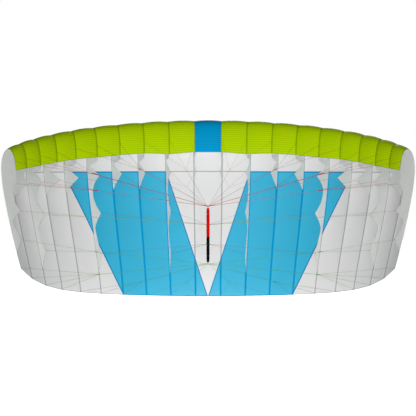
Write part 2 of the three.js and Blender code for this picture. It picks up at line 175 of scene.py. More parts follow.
class Graph:
    """The node tree of one material, or of the world."""

    BLEND_A = 6
    BLEND_B = 7
    BLEND_RESULT = 2

    def __init__(self, owner: bpy.types.Material | bpy.types.World) -> None:
        """Starts an empty tree in a new material or world.

        Args:
            owner: the material or world that the tree belongs to.
        """
        owner.use_nodes = True
        self.owner = owner
        self.tree = owner.node_tree
        self.tree.nodes.clear()

    def node(self, kind: str, settings: dict[str, Any] | None = None,
             inputs: dict[str | int, Value] | None = None) -> bpy.types.Node:
        """Adds any node.

        Args:
            kind: the node's type.
            settings: its properties, set before its sockets.
            inputs: values or links for its sockets, by name or place.

        Returns:
            The new node.
        """
        node = self.tree.nodes.new(kind)
        for key, value in (settings or {}).items():
            setattr(node, key, value)
        for key, value in (inputs or {}).items():
            self.feed(node.inputs[key], value)
        return node

    def out(self, kind: str, settings: dict[str, Any] | None = None,
            inputs: dict[str | int, Value] | None = None, output: str | int = 0) -> Sock:
        """Adds any node for the sake of one of its outputs.

        Args:
            kind: the node's type.
            settings: its properties, set before its sockets.
            inputs: values or links for its sockets, by name or place.
            output: the output that is wanted, by name or place.

        Returns:
            That output.
        """
        return Sock(self, self.node(kind, settings, inputs).outputs[output])

    def feed(self, socket: bpy.types.NodeSocket, value: Value) -> None:
        """Links a socket to another, or sets its value.

        Args:
            socket: the input that is fed.
            value: what feeds it.
        """
        if isinstance(value, Sock):
            self.tree.links.new(value.socket, socket)
        else:
            socket.default_value = value

    def blend(self, share: Value, first: Value, second: Value) -> Sock:
        """Mixes two colours.

        Args:
            share: 0 gives the first colour and 1 the second.
            first: a colour socket or an RGB colour.
            second: a colour socket or an RGB colour.

        Returns:
            The mixed colour.
        """
        colours = [c if isinstance(c, Sock) else (*c, 1.0) for c in (first, second)]
        inputs = {0: share, self.BLEND_A: colours[0], self.BLEND_B: colours[1]}
        settings = {"data_type": "RGBA", "clamp_factor": True}
        return self.out("ShaderNodeMix", settings, inputs, self.BLEND_RESULT)

    def attribute(self, name: str) -> Sock:
        """Reads a number that the mesh keeps at its points."""
        return self.out("ShaderNodeAttribute", {"attribute_name": name}, output="Fac")

    def flat_place(self) -> tuple[Sock, Sock, Sock]:
        """Reads the cloth's own map, in metres.

        Returns:
            The place as a vector, and its parts across the span and along the chord.
        """
        place = self.out("ShaderNodeUVMap", {"uv_map": CLOTH_MAP})
        split = self.node("ShaderNodeSeparateXYZ", inputs={0: place})
        return place, Sock(self, split.outputs[0]), Sock(self, split.outputs[1])

    def mottle(self, place: Sock | None, size: float, detail: float = 2.0) -> Sock:
        """Soft noise from 0 to 1.

        Args:
            place: the coordinates to read, or nothing for the object's own.
            size: the distance over which the noise changes, in metres.
            detail: the number of finer layers.

        Returns:
            The noise as a number.
        """
        if place is None:
            place = self.out("ShaderNodeTexCoord", output="Object")
        inputs = {"Vector": place, "Scale": 1.0 / size, "Detail": detail}
        return self.out("ShaderNodeTexNoise", {"noise_dimensions": "3D"}, inputs)

    def bump(self, height: Sock, distance: float, strength: float = 1.0, below: Sock | None = None) -> Sock:
        """A normal from a height.

        Args:
            height: the height, from 0 to 1.
            distance: what a height of 1 stands for, in metres.
            strength: how much of the relief shows.
            below: the normal of a coarser relief under this one.

        Returns:
            The bumped normal.
        """
        inputs: dict[str | int, Value] = {"Strength": strength, "Distance": distance, "Height": height}
        if below is not None:
            inputs["Normal"] = below
        return self.out("ShaderNodeBump", {}, inputs)

    def surface(self, sockets: dict[str, Value]) -> bpy.types.Material:
        """Closes the tree with a Principled shader.

        Args:
            sockets: the shader's values and links by socket name.

        Returns:
            The finished material.
        """
        shader = self.out("ShaderNodeBsdfPrincipled", inputs=sockets)
        self.node("ShaderNodeOutputMaterial", inputs={"Surface": shader})
        return self.owner


# Finishes


class Finish(ABC):
    """A surface finish that makes one material."""

    name: str

    @abstractmethod
    def make(self) -> bpy.types.Material:
        """Builds the finish's material."""


class Dye(NamedTuple):
    """The colour of a cloth and of the seams sewn in it, with the share of a seam's width that shows."""

    cloth: Colour
    seam: Colour
    seam_share: float = 1.0


@dataclass(frozen=True)
class Ripstop(Finish):
    """Coated ripstop cloth with a grid of thicker threads, soft crinkles and darker, stitched seams.

    Sizes and lengths are in metres. A value that ends in show is the share of a colour that comes through.
    """

    name: str
    dye: Dye
    panel: Dye | None = None
    panel_rim: Colour = (0.0, 0.20, 0.48)
    panel_rim_width: float = 0.011
    grid: float = 0.0055
    grid_thread: float = 0.1
    grid_show: float = 0.06
    shade_size: float = 0.18
    shade_loss: float = 0.05
    crinkle_size: float = 0.045
    crinkle_layers: float = 4.0
    crinkle_height: float = 0.0008
    thread_height: float = 0.00012
    roughness: float = 0.47
    roughness_size: float = 0.09
    roughness_change: float = 0.1
    specular: float = 0.02
    coat: float = 0.0
    coat_ior: float = 1.6
    stripe: float = 0.0
    stripe_loss: float = 0.24
    stripe_show: float = 0.8
    seam_blur: float = 0.15
    stitch_row: float = 0.5
    stitch_half: float = 0.07
    stitch_pitch: float = 0.004
    stitch_share: float = 0.62
    stitch_show: float = 0.4
    stitch_rise: float = 2.0
    see_through: float = 0.0
    scatter: tuple[float, float, float] = (0.002, 0.002, 0.002)

    def make(self) -> bpy.types.Material:
        """Builds the cloth's material from its flat map and the distances kept on the mesh.

        Returns:
            The material.
        """
        graph = Graph(bpy.data.materials.new(self.name))
        place, across, along = graph.flat_place()
        mottle = graph.mottle(place, self.shade_size)
        seam = graph.attribute(SEAM)
        colour = self._dyed(graph, self.dye.cloth, mottle)
        seam_colour: Value = self.dye.seam
        sewn = seam / self.dye.seam_share
        coat: Value = self.coat
        if self.panel is not None:
            edge = graph.attribute(PANEL)
            inside = edge < 0.0
            rim = inside * (edge + self.panel_rim_width).ramp(0.0, self.panel_rim_width / 2.0)
            colour = graph.blend(inside, colour, self._dyed(graph, self.panel.cloth, mottle))
            colour = graph.blend(rim, colour, self.panel_rim)
            panel_seam = graph.blend(rim, self.panel.seam, self.panel_rim)
            seam_colour = graph.blend(inside, self.dye.seam, panel_seam)
            share = inside * (self.panel.seam_share - self.dye.seam_share) + self.dye.seam_share
            cross = abs(graph.attribute(CROSS)) + inside * FAR
            sewn = seam.smaller(cross) / share
            coat = (1.0 - rim) * sewn.ramp(1.0 - self.seam_blur, 1.0 + self.seam_blur) * self.coat
        if self.stripe:
            dark = tuple(c * (1.0 - self.stripe_loss) for c in self.dye.cloth)
            colour = graph.blend(along.wave(self.stripe) * self.stripe_show, colour, dark)
        threads = self._grid_line(across) + self._grid_line(along)
        plain = graph.blend(threads * self.grid_show, colour, seam_colour)
        colour = graph.blend(sewn.ramp(1.0 + self.seam_blur, 1.0 - self.seam_blur), plain, seam_colour)
        stitches = self._stitches(sewn, across + along)
        colour = graph.blend(stitches * self.stitch_show, colour, plain)
        crinkle = graph.mottle(place, self.crinkle_size, self.crinkle_layers)
        relief = graph.bump(crinkle, self.crinkle_height)
        relief = graph.bump(threads + stitches * self.stitch_rise, self.thread_height, below=relief)
        worn = graph.mottle(place, self.roughness_size) * self.roughness_change
        return graph.surface({
            "Base Color": colour,
            "Roughness": worn + (self.roughness - self.roughness_change / 2.0),
            "Specular IOR Level": self.specular,
            "Coat Weight": coat,
            "Coat Roughness": self.roughness,
            "Coat IOR": self.coat_ior,
            "Subsurface Weight": self.see_through,
            "Subsurface Radius": self.scatter,
            "Subsurface Scale": 1.0,
            "Normal": relief,
        })

    def _dyed(self, graph: Graph, colour: Colour, mottle: Sock) -> Sock:
        """A colour with slight unevenness."""
        dark = tuple(c * (1.0 - self.shade_loss) for c in colour)
        return graph.blend(mottle, dark, colour)

    def _grid_line(self, distance: Sock) -> Sock:
        """One on the thicker threads that cross one direction of the cloth."""
        return (distance / self.grid % 1.0) < self.grid_thread

    def _stitches(self, seam: Sock, run: Sock) -> Sock:
        """One on the stitches beside the middle of a seam."""
        row = abs(seam - self.stitch_row) < self.stitch_half
        return row * ((run / self.stitch_pitch % 1.0) < self.stitch_share)


@dataclass(frozen=True)
class BraidedLine(Finish):
    """A braided line painted lighter on the crests of its strands, a painted highlight, and in random worn
    spots.
    """

    name: str
    colour: Colour
    crest_highlight_and_wear: Colour
    braid: float = 0.003
    braid_height: float = 0.0003
    braid_highlight_show: float = 0.25
    wear_size: float = 0.02
    wear_show: float = 0.15
    roughness: float = 0.7
    specular: float = 0.1

    def make(self) -> bpy.types.Material:
        """Builds the line's material from the distance along it.

        Returns:
            The material.
        """
        graph = Graph(bpy.data.materials.new(self.name))
        strands = graph.attribute(ALONG).wave(self.braid)
        worn = graph.mottle(None, self.wear_size)
        # Lighter on the strands' crests, a painted highlight, and in random worn spots, which are real wear.
        light = strands * self.braid_highlight_show + worn * self.wear_show
        return graph.surface({
            "Base Color": graph.blend(light, self.colour, self.crest_highlight_and_wear),
            "Roughness": self.roughness,
            "Specular IOR Level": self.specular,
            "Normal": graph.bump(strands, self.braid_height),
        })


@dataclass(frozen=True)
class FoamGrip(Finish):
    """Closed-cell foam of a grip: matte, with fine pores and slight rubbing."""

    name: str
    colour: Colour
    pore: float = 0.0011
    pore_depth: float = 0.0002
    pore_strength: float = 0.6
    layers: float = 3.0
    rub_size: float = 0.03
    rub_light: float = 1.2
    rub_roughness: float = 0.15
    roughness: float = 0.55
    specular: float = 0.005

    def make(self) -> bpy.types.Material:
        """Builds the foam's material on the bar's own coordinates.

        Returns:
            The material.
        """
        graph = Graph(bpy.data.materials.new(self.name))
        rubbed = graph.mottle(None, self.rub_size, self.layers)
        pores = graph.mottle(None, self.pore, self.layers)
        light = tuple(c * self.rub_light for c in self.colour)
        return graph.surface({
            "Base Color": graph.blend(rubbed, self.colour, light),
            "Roughness": rubbed * self.rub_roughness + self.roughness,
            "Specular IOR Level": self.specular,
            "Normal": graph.bump(pores, self.pore_depth, self.pore_strength),
        })


@dataclass(frozen=True)
class Webbing(Finish):
    """Woven webbing with close diagonal ridges, with a painted highlight along their crests."""

    name: str
    colour: Colour
    ridge: float = 0.0012
    ridge_height: float = 0.0003
    ridge_light: float = 1.8
    roughness: float = 0.75
    specular: float = 0.1

    def make(self) -> bpy.types.Material:
        """Builds the webbing's material on the bar's own coordinates.

        Returns:
            The material.
        """
        graph = Graph(bpy.data.materials.new(self.name))
        place = graph.out("ShaderNodeTexCoord", output="Object")
        split = graph.node("ShaderNodeSeparateXYZ", inputs={0: place})
        rise = Sock(graph, split.outputs[1]) + Sock(graph, split.outputs[2])
        ridges = rise.wave(self.ridge)
        # The ridges' crests are painted lighter: a painted highlight.
        light = tuple(c * self.ridge_light for c in self.colour)
        return graph.surface({
            "Base Color": graph.blend(ridges, self.colour, light),
            "Roughness": self.roughness,
            "Specular IOR Level": self.specular,
            "Normal": graph.bump(ridges, self.ridge_height),
        })


@dataclass(frozen=True)
class PaleFloor(Finish):
    """The studio floor, evenly bright."""

    name: str = "studio_floor"
    colour: Colour = (0.9, 0.9, 0.9)
    roughness: float = 0.9
    glow: float = 1.0

    def make(self) -> bpy.types.Material:
        """Builds the floor's material.

        Returns:
            The material.
        """
        graph = Graph(bpy.data.materials.new(self.name))
        return graph.surface({
            "Base Color": (*self.colour, 1.0),
            "Roughness": self.roughness,
            "Emission Color": (1.0, 1.0, 1.0, 1.0),
            "Emission Strength": self.glow,
        })


WHITE_DYE = Dye((0.75, 0.75, 0.75), (0.37, 0.375, 0.375), 0.58)
BLUE_DYE = Dye((0.030, 0.445, 0.675), (0.0015, 0.29, 0.58))
GREEN_DYE = Dye((0.41, 0.615, 0.0005), (0.20, 0.35, 0.0005), 0.75)
DEEP_BLUE_DYE = Dye((0.0005, 0.295, 0.59), (0.0005, 0.22, 0.55))
RIB_DYE = Dye((0.75, 0.775, 0.745), (0.73, 0.755, 0.725))
CANOPY_CLOTH = Ripstop("canopy_cloth", WHITE_DYE, BLUE_DYE, coat=0.9)
GREEN_BAND_CLOTH = Ripstop("green_band_cloth", GREEN_DYE, stripe=0.019)
BLUE_BAND_CLOTH = Ripstop("blue_band_cloth", DEEP_BLUE_DYE, stripe=0.019)
RIB_CLOTH = Ripstop("rib_cloth", RIB_DYE, see_through=1.0)
RED_LINE = BraidedLine("red_line", (0.38, 0.006, 0.012), (0.55, 0.05, 0.05))
OLIVE_LINE = BraidedLine("olive_line", (0.22, 0.27, 0.02), (0.34, 0.40, 0.08))
GREY_LINE = BraidedLine("grey_line", (0.17, 0.18, 0.07), (0.30, 0.31, 0.17))
GREEN_LINE = BraidedLine("green_line", (0.08, 0.34, 0.06), (0.18, 0.46, 0.15))
RED_GRIP = FoamGrip("red_grip", (0.35, 0.0005, 0.0005))
# The red ring is a darker red that stands for painted shade in the front grip's shallow groove.
RED_RING_PAINTED_SHADE = FoamGrip("red_ring_painted_shade", (0.27, 0.0008, 0.0008))
BLACK_GRIP = FoamGrip("black_grip", (0.002, 0.002, 0.002))
# The black ring is a lighter black that stands for a painted highlight on the rear grip's ring.
BLACK_RING_PAINTED_HIGHLIGHT = FoamGrip("black_ring_painted_highlight", (0.012, 0.012, 0.011))
RED_WEBBING = Webbing("red_webbing", (0.34, 0.003, 0.004))
BLACK_WEBBING = Webbing("black_webbing", (0.008, 0.008, 0.009))


# Meshes

SHARP_ANGLE = math.radians(40.0)


def finished_object(name: str, bm: bmesh.types.BMesh, *finishes: Finish) -> bpy.types.Object:
    """Turns a bmesh into a smooth object.

    Args:
        name: the piece's name.
        bm: the mesh, which is freed.
        finishes: the finishes of its material slots.

    Returns:
        The new object, at the origin.
    """
    for edge in bm.edges:
        edge.smooth = not edge.is_boundary and edge.calc_face_angle(0.0) < SHARP_ANGLE
    mesh = bpy.data.meshes.new(name)
    bm.to_mesh(mesh)
    bm.free()
    mesh.shade_smooth()
    for finish in finishes:
        mesh.materials.append(MATERIALS.of(finish))
    piece = bpy.data.objects.new(name, mesh)
    bpy.context.scene.collection.objects.link(piece)
    return piece


def thickened(piece: bpy.types.Object, thickness: float) -> None:
    """Gives a sheet its thickness, half on each side.

    Args:
        piece: the sheet.
        thickness: the whole thickness.
    """
    wall = piece.modifiers.new("thickness", "SOLIDIFY")
    wall.thickness = thickness
    wall.offset = 0.0


def placed_on_wing(piece: bpy.types.Object, slot: str, *nodes: str) -> None:
    """Lets a piece ride on the wing in place of some solids.

    Args:
        piece: the finished piece.
        slot: the record's material slot; not used.
        nodes: the solids that it stands for.
    """
    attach(piece, BODY)
    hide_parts(*nodes)


def mesh_area(piece: bpy.types.Object) -> float:
    """The area of a sheet's own faces, before its thickness."""
    return sum(face.area for face in piece.data.polygons)


def path_length(points: Sequence[Vector]) -> float:
    """The length of a path through some points."""
    return sum((end - start).length for start, end in zip(points, points[1:]))


def arch(share: float) -> float:
    """A rise from 0 at the shares 0 and 1 to 1 in the middle."""
    return 4.0 * share * (1.0 - share)


def aimed(direction: Vector) -> Matrix:
    """The turn that brings +Z on to a direction."""
    return direction.to_track_quat("Z", "Y").to_matrix().to_4x4()


class Materials:
    """Materials by finish, each made once."""

    def __init__(self) -> None:
        """Starts with none."""
        self.made: dict[str, bpy.types.Material] = {}

    def of(self, finish: Finish) -> bpy.types.Material:
        """The material of a finish.

        Args:
            finish: the finish.

        Returns:
            Its material, made if it is new.
        """
        if finish.name not in self.made:
            self.made[finish.name] = finish.make()
        return self.made[finish.name]


MATERIALS = Materials()


class ClothPoint(NamedTuple):
    """A point of a sheet, with what its finish needs to know there.

    seam is the distance to the nearest seam along the cells in half widths of that seam, cross the distance
    above the seam across them in half widths of that one, tail the distance to the trailing edge, and panel
    the distance outside the coloured panels, negative within them.
    """

    place: Vector
    across: float
    along: float
    seam: float
    tail: float = 1.0
    cross: float = FAR
    panel: float = 1.0


def cloth_sheet(columns: int, rows: int, point_at: Callable[[int, int], ClothPoint]) -> bmesh.types.BMesh:
    """A sheet of cloth as a grid laid on a surface.

    Args:
        columns: the faces across the sheet.
        rows: the faces along it.
        point_at: gives the point at a column and a row.

    Returns:
        The sheet with its flat map and its distances to seams and panels.
    """
    bm = bmesh.new()
    bmesh.ops.create_grid(bm, x_segments=columns, y_segments=rows, size=0.5)
    layers = {name: bm.verts.layers.float.new(name) for name in (SEAM, CROSS, PANEL)}
    flat: dict[bmesh.types.BMVert, tuple[float, float]] = {}
    for vert in bm.verts:
        point = point_at(round((vert.co.x + 0.5) * columns), round((vert.co.y + 0.5) * rows))
        vert.co = point.place
        for name, layer in layers.items():
            vert[layer] = getattr(point, name)
        flat[vert] = (point.across, point.along)
    flat_map = bm.loops.layers.uv.new(CLOTH_MAP)
    for face in bm.faces:
        for loop in face.loops:
            loop[flat_map].uv = flat[loop.vert]
    return bm


# The shape of the canopy


@dataclass(frozen=True)
class RibPlane:
    """The upright plane that a rib stands in."""

    number: int
    angle: float
    nose: float
    chord: float
    nose_swell: float
    tip_share: float

    @property
    def outward(self) -> Vector:
        """The level direction away from the arc's axis."""
        return Vector((math.sin(self.angle), math.cos(self.angle), 0.0))

    @property
    def name(self) -> str:
        """The rib's name, counted from the middle of the wing."""
        return f"{(Side.LEFT if self.number < 0 else Side.RIGHT).word}_{abs(self.number)}"


@dataclass(frozen=True)
class Planform:
    """Plan and section of the canopy, as the solids have them.

    Section values are shares of the chord. A step along the section is negative from the lip to the nose and
    positive from there to the trailing edge, where it is 1.
    """

    cells_per_side: int = 9
    centre_cell: float = 0.224
    tip_cell_loss: float = 0.46
    cell_loss_power: float = 2.2
    arc_radius: float = 1.890
    bar_to_trailing_edge: float = 2.320
    leading_edge_z: float = 0.979
    leading_edge_drop: float = 0.295
    leading_edge_tip_drop: float = 0.019
    trailing_edge_z: float = -0.617
    trailing_edge_rise: float = 0.146
    trailing_edge_tip_rise: float = 0.153
    tip_curve_power: float = 9.0
    tip_share_power: float = 5.0
    nose_out: float = 0.13
    tip_nose_swell: float = 0.19
    tip_swell_power: float = 7.0
    tip_tail_swell: float = 0.2
    tail_swell_power: float = 4.0
    outer_swell: float = 0.36
    outer_taper: float = 1.47
    inner_fall: float = 0.296
    inner_lift: float = 0.308
    lip_back: float = 0.177
    band_back: float = 0.03
    billow: float = 0.072
    nose_fullness: float = 0.5
    tip_nose_fullness: float = 0.95
    lip_fullness: float = 0.35
    full_billow_step: float = 0.55
    tail_billow_power: float = 4.0
    slope_step: float = 1e-4
    ruler_marks: int = 600

    @property
    def cells(self) -> int:
        """The number of cells from tip to tip."""
        return 2 * self.cells_per_side + 1

    @property
    def lip_step(self) -> float:
        """The step at the lip of the leading edge band."""
        return -math.sqrt(self.lip_back)

    @property
    def band_step(self) -> float:
        """The step where the band is sewn to the skin."""
        return math.sqrt(self.band_back)

    def cell_width(self, cell: int) -> float:
        """The width of a cell at the trailing edge."""
        loss = self.tip_cell_loss * self.cell_share(cell) ** self.cell_loss_power
        return self.centre_cell * (1.0 - loss)

    @cached_property
    def planes(self) -> list[RibPlane]:
        """The rib planes from the left tip to the right one.

        Returns:
            The planes in order.
        """
        sweeps = [0.0]
        for cell in range(self.cells):
            sweeps.append(sweeps[-1] + self.cell_width(cell) / self.arc_radius)
        tip = sweeps[-1] / 2.0
        middle = self.cells_per_side + 1
        planes = []
        for index, sweep in enumerate(sweeps):
            share = abs(sweep / tip - 1.0)
            turn = share**self.tip_curve_power
            nose = self.leading_edge_z - self.leading_edge_drop * share**2 - self.leading_edge_tip_drop * turn
            tail = self.trailing_edge_z + self.trailing_edge_rise * share**2
            tail += self.trailing_edge_tip_rise * turn
            number = index - middle if index < middle else index - middle + 1
            swell = 1.0 + self.tip_nose_swell * share**self.tip_swell_power
            tip_share = share**self.tip_share_power
            planes.append(RibPlane(number, sweep - tip, nose, nose - tail, swell, tip_share))
        return planes

    def plane(self, side: Side, number: int) -> RibPlane:
        """A rib plane by its side and its count from the middle."""
        return next(plane for plane in self.planes if plane.number == side.value * number)

    def section(self, plane: RibPlane, step: float) -> Vector:
        """The section at a step.

        Args:
            plane: the rib plane that the section lies in.
            step: the step along the section.

        Returns:
            How far back and how far out the point lies, in shares of the chord.
        """
        back = step * step
        nose = self.nose_out * plane.nose_swell
        if step < 0.0:
            return Vector((back, nose + self.inner_fall * plane.nose_swell * step + self.inner_lift * back))
        left = 1.0 - min(back, 1.0)
        swell = self.outer_swell * step * left**self.outer_taper
        tail = self.tip_tail_swell * plane.tip_share * back**self.tail_swell_power
        return Vector((back, swell + (nose + tail) * left))

    def section_normal(self, plane: RibPlane, step: float) -> Vector:
        """The way off the cloth's outer face.

        Args:
            plane: the rib plane that the section lies in.
            step: the step along the section.

        Returns:
            The unit way, as a share out and a share up.
        """
        before = self.section(plane, step - self.slope_step)
        after = self.section(plane, min(step + self.slope_step, 1.0))
        return (after - before).normalized()

    def placed(self, plane: RibPlane, out: float, height: float) -> Vector:
        """A point of a rib plane by its reach past the arc's radius and its height."""
        axis = Vector((0.0, self.bar_to_trailing_edge - self.arc_radius, height))
        return plane.outward * (self.arc_radius + out) + axis

    def rib_point(self, plane: RibPlane, step: float, lift: float = 0.0) -> Vector:
        """A point of a rib's section.

        Args:
            plane: the rib's plane.
            step: the step along the section.
            lift: the distance off the cloth's middle.

        Returns:
            The point.
        """
        section = self.section(plane, step)
        normal = self.section_normal(plane, step)
        out = section.y * plane.chord + normal.x * lift
        return self.placed(plane, out, plane.nose - section.x * plane.chord + normal.y * lift)

    def cell_share(self, cell: int) -> float:
        """How far a cell lies from the middle of the wing, 1 at the tips."""
        return abs(cell - self.cells_per_side) / self.cells_per_side

    def fullness(self, cell: int, step: float) -> float:
        """The share of the full bulge between two ribs.

        Args:
            cell: the cell, counted from the left tip.
            step: the step along the section.

        Returns:
            The share, from 0 to 1.
        """
        nose = self.nose_fullness + (self.tip_nose_fullness - self.nose_fullness) * self.cell_share(cell) ** 2
        if step < 0.0:
            return nose + (self.lip_fullness - nose) * (step / self.lip_step) ** 2
        filled = nose + (1.0 - nose) * min(1.0, step / self.full_billow_step)
        return filled * (1.0 - step**self.tail_billow_power)

    def skin_point(self, cell: int, across: float, step: float, lift: float = 0.0) -> Vector:
        """A point of the billowed skin.

        Args:
            cell: the cell, counted from the left tip.
            across: the share of the cell's width from its left rib.
            step: the step along the section.
            lift: the distance off the billowed cloth.

        Returns:
            The point.
        """
        bulge = self.billow * self.cell_width(cell) * self.fullness(cell, step)
        height = lift + bulge * arch(across)
        left = self.rib_point(self.planes[cell], step, height)
        return left.lerp(self.rib_point(self.planes[cell + 1], step, height), across)

    @cached_property
    def ruler(self) -> list[tuple[float, float]]:
        """Steps along the section of the middle cell with their distance from the lip.

        Returns:
            Pairs of a step and its distance, in shares of the chord.
        """
        marks = []
        distance = 0.0
        plane = self.planes[self.cells_per_side]
        before = self.section(plane, self.lip_step)
        for mark in range(self.ruler_marks + 1):
            step = self.lip_step + (1.0 - self.lip_step) * mark / self.ruler_marks
            here = self.section(plane, step)
            distance += (here - before).length
            marks.append((step, distance))
            before = here
        return marks

    def distance(self, step: float) -> float:
        """The distance along the section from the lip.

        Args:
            step: the step along the section.

        Returns:
            The distance, in shares of the chord.
        """
        share = (step - self.lip_step) / (1.0 - self.lip_step) * self.ruler_marks
        mark = min(int(share), self.ruler_marks - 1)
        first, last = self.ruler[mark][1], self.ruler[mark + 1][1]
        return first + (last - first) * (share - mark)

    def step_at(self, distance: float) -> float:
        """The step at a distance along the section.

        Args:
            distance: the distance from the lip, in shares of the chord.

        Returns:
            The step, or 1 past the trailing edge.
        """
        for (step, start), (next_step, end) in zip(self.ruler, self.ruler[1:]):
            if distance <= end:
                return step + (next_step - step) * (distance - start) / (end - start)
        return 1.0

    def even_steps(self, first: float, last: float, rows: int) -> list[float]:
        """Steps at even distances along the cloth.

        Args:
            first: the first step.
            last: the last step.
            rows: the number of stretches between them.

        Returns:
            The steps, both ends included.
        """
        start, end = self.distance(first), self.distance(last)
        inner = [self.step_at(start + (end - start) * row / rows) for row in range(1, rows)]
        return [first, *inner, last]


PLAN = Planform()


@dataclass(frozen=True)
class Seams:
    """Widths of the sewn seams and the relief that sewing leaves beside them."""

    half_width: float = 0.0085
    ridge: float = 0.0005
    pucker: float = 0.0009
    pucker_length: float = 0.03
    pucker_reach: float = 0.035
    ripple: float = 0.0016
    ripple_length: float = 0.22
    cord: float = 0.0
    cord_pitch: float = 0.019
    pleat_change: float = 3.7
    ripple_layer: float = 5.1

    def columns(self, width: float, count: int) -> list[float]:
        """Shares of a cell's width for the columns of its grid, close together beside the seams.

        Args:
            width: the cell's width.
            count: the number of faces between the two seam strips.

        Returns:
            The shares from 0 to 1.
        """
        strip = self.half_width / width
        eased = [(1.0 - math.cos(math.pi * face / count)) / 2.0 for face in range(count + 1)]
        return [0.0, *(strip + (1.0 - 2.0 * strip) * share for share in eased), 1.0]

    def lift(self, seam: float, rib: int, across: float, along: float) -> float:
        """The height of the sewn cloth's relief.

        Args:
            seam: the distance from the seam, in metres.
            rib: the number of the rib at that seam.
            across: the place across the span.
            along: the place along the chord.

        Returns:
            The lift off the smooth surface.
        """
        height = self.cord * math.sin(math.tau * along / self.cord_pitch)
        if seam <= self.half_width:
            height -= self.ridge
        near = math.exp(-(((seam - self.half_width) / self.pucker_reach) ** 2))
        fade = near * min(1.0, seam / self.pucker_reach)
        pleat = noise.noise(Vector((along / self.pucker_length, rib * self.pleat_change, 0.0)))
        spot = Vector((across / self.ripple_length, along / self.ripple_length, self.ripple_layer))
        soft = noise.noise(spot)
        rest = min(1.0, seam / (2.0 * self.pucker_reach))
        return height + self.pucker * pleat * fade + self.ripple * soft * rest


@dataclass
class SkinSheet:
    """A run of cells as one sheet between two steps of the section.

    sag is how much lower its lip hangs at each rib from the middle outwards, in shares of the chord.
    """

    first_cell: int
    last_cell: int
    steps: list[float]
    seams: Seams
    sag: tuple[float, ...] = ()
    cell_columns: int = 10
    sag_power: float = 4.0

    @cached_property
    def columns(self) -> list[tuple[int, float]]:
        """The columns of the sheet's grid.

        Returns:
            For each column its cell and the share of that cell's width.
        """
        found = [(self.first_cell, 0.0)]
        for cell in range(self.first_cell, self.last_cell + 1):
            shares = self.seams.columns(PLAN.cell_width(cell), self.cell_columns)
            found.extend((cell, share) for share in shares[1:])
        return found

    def chord(self, cell: int, across: float) -> float:
        """The chord between two ribs."""
        left, right = PLAN.planes[cell], PLAN.planes[cell + 1]
        return left.chord + (right.chord - left.chord) * across

    def place(self, cell: int, across: float, step: float, lift: float = 0.0) -> Vector:
        """A point of the sheet, whose lip hangs lower at some ribs.

        Args:
            cell: the cell, counted from the left tip.
            across: the share of the cell's width from its left rib.
            step: the step along the section.
            lift: the distance off the billowed cloth.

        Returns:
            The point.
        """
        if step >= 0.0 or not self.sag:
            return PLAN.skin_point(cell, across, step, lift)
        left, right = (self.sag[abs(plane.number) - 1] for plane in PLAN.planes[cell:cell + 2])
        lower = (left + (right - left) * across) * (step / PLAN.lip_step) ** self.sag_power
        return PLAN.skin_point(cell, across, -math.sqrt(step * step + lower), lift)

    def flat_size(self) -> tuple[float, float]:
        """The rectangle that the sheet is cut from.

        Returns:
            The widest row and the longest column.
        """
        rows = [[self.place(cell, share, step) for cell, share in self.columns] for step in self.steps]
        lines = [rows, list(zip(*rows))]
        width, length = (max(path_length(line) for line in family) for family in lines)
        return width, length

    def build(self, dress: Callable[[ClothPoint], ClothPoint]) -> bmesh.types.BMesh:
        """Lays the sheet over its cells.

        Args:
            dress: completes each point with the sheet's own seams and panels.

        Returns:
            The sheet's mesh.
        """

        def point_at(column: int, row: int) -> ClothPoint:
            """A point of the sheet.

            Args:
                column: its column in the grid.
                row: its row in the grid.

            Returns:
                The dressed point.
            """
            cell, share = self.columns[column]
            step = self.steps[row]
            width = PLAN.cell_width(cell)
            chord = self.chord(cell, share)
            along = PLAN.distance(step) * chord
            tail = PLAN.distance(1.0) * chord - along
            across = (PLAN.planes[cell].angle + width * share / PLAN.arc_radius) * PLAN.arc_radius
            nearest = min(share, 1.0 - share) * width
            rib = cell if share < 0.5 else cell + 1
            lift = self.seams.lift(nearest, rib, across, along)
            place = self.place(cell, share, step, lift)
            return dress(ClothPoint(place, across, along, nearest / self.seams.half_width, tail))

        return cloth_sheet(len(self.columns) - 1, len(self.steps) - 1, point_at)


# Canopy


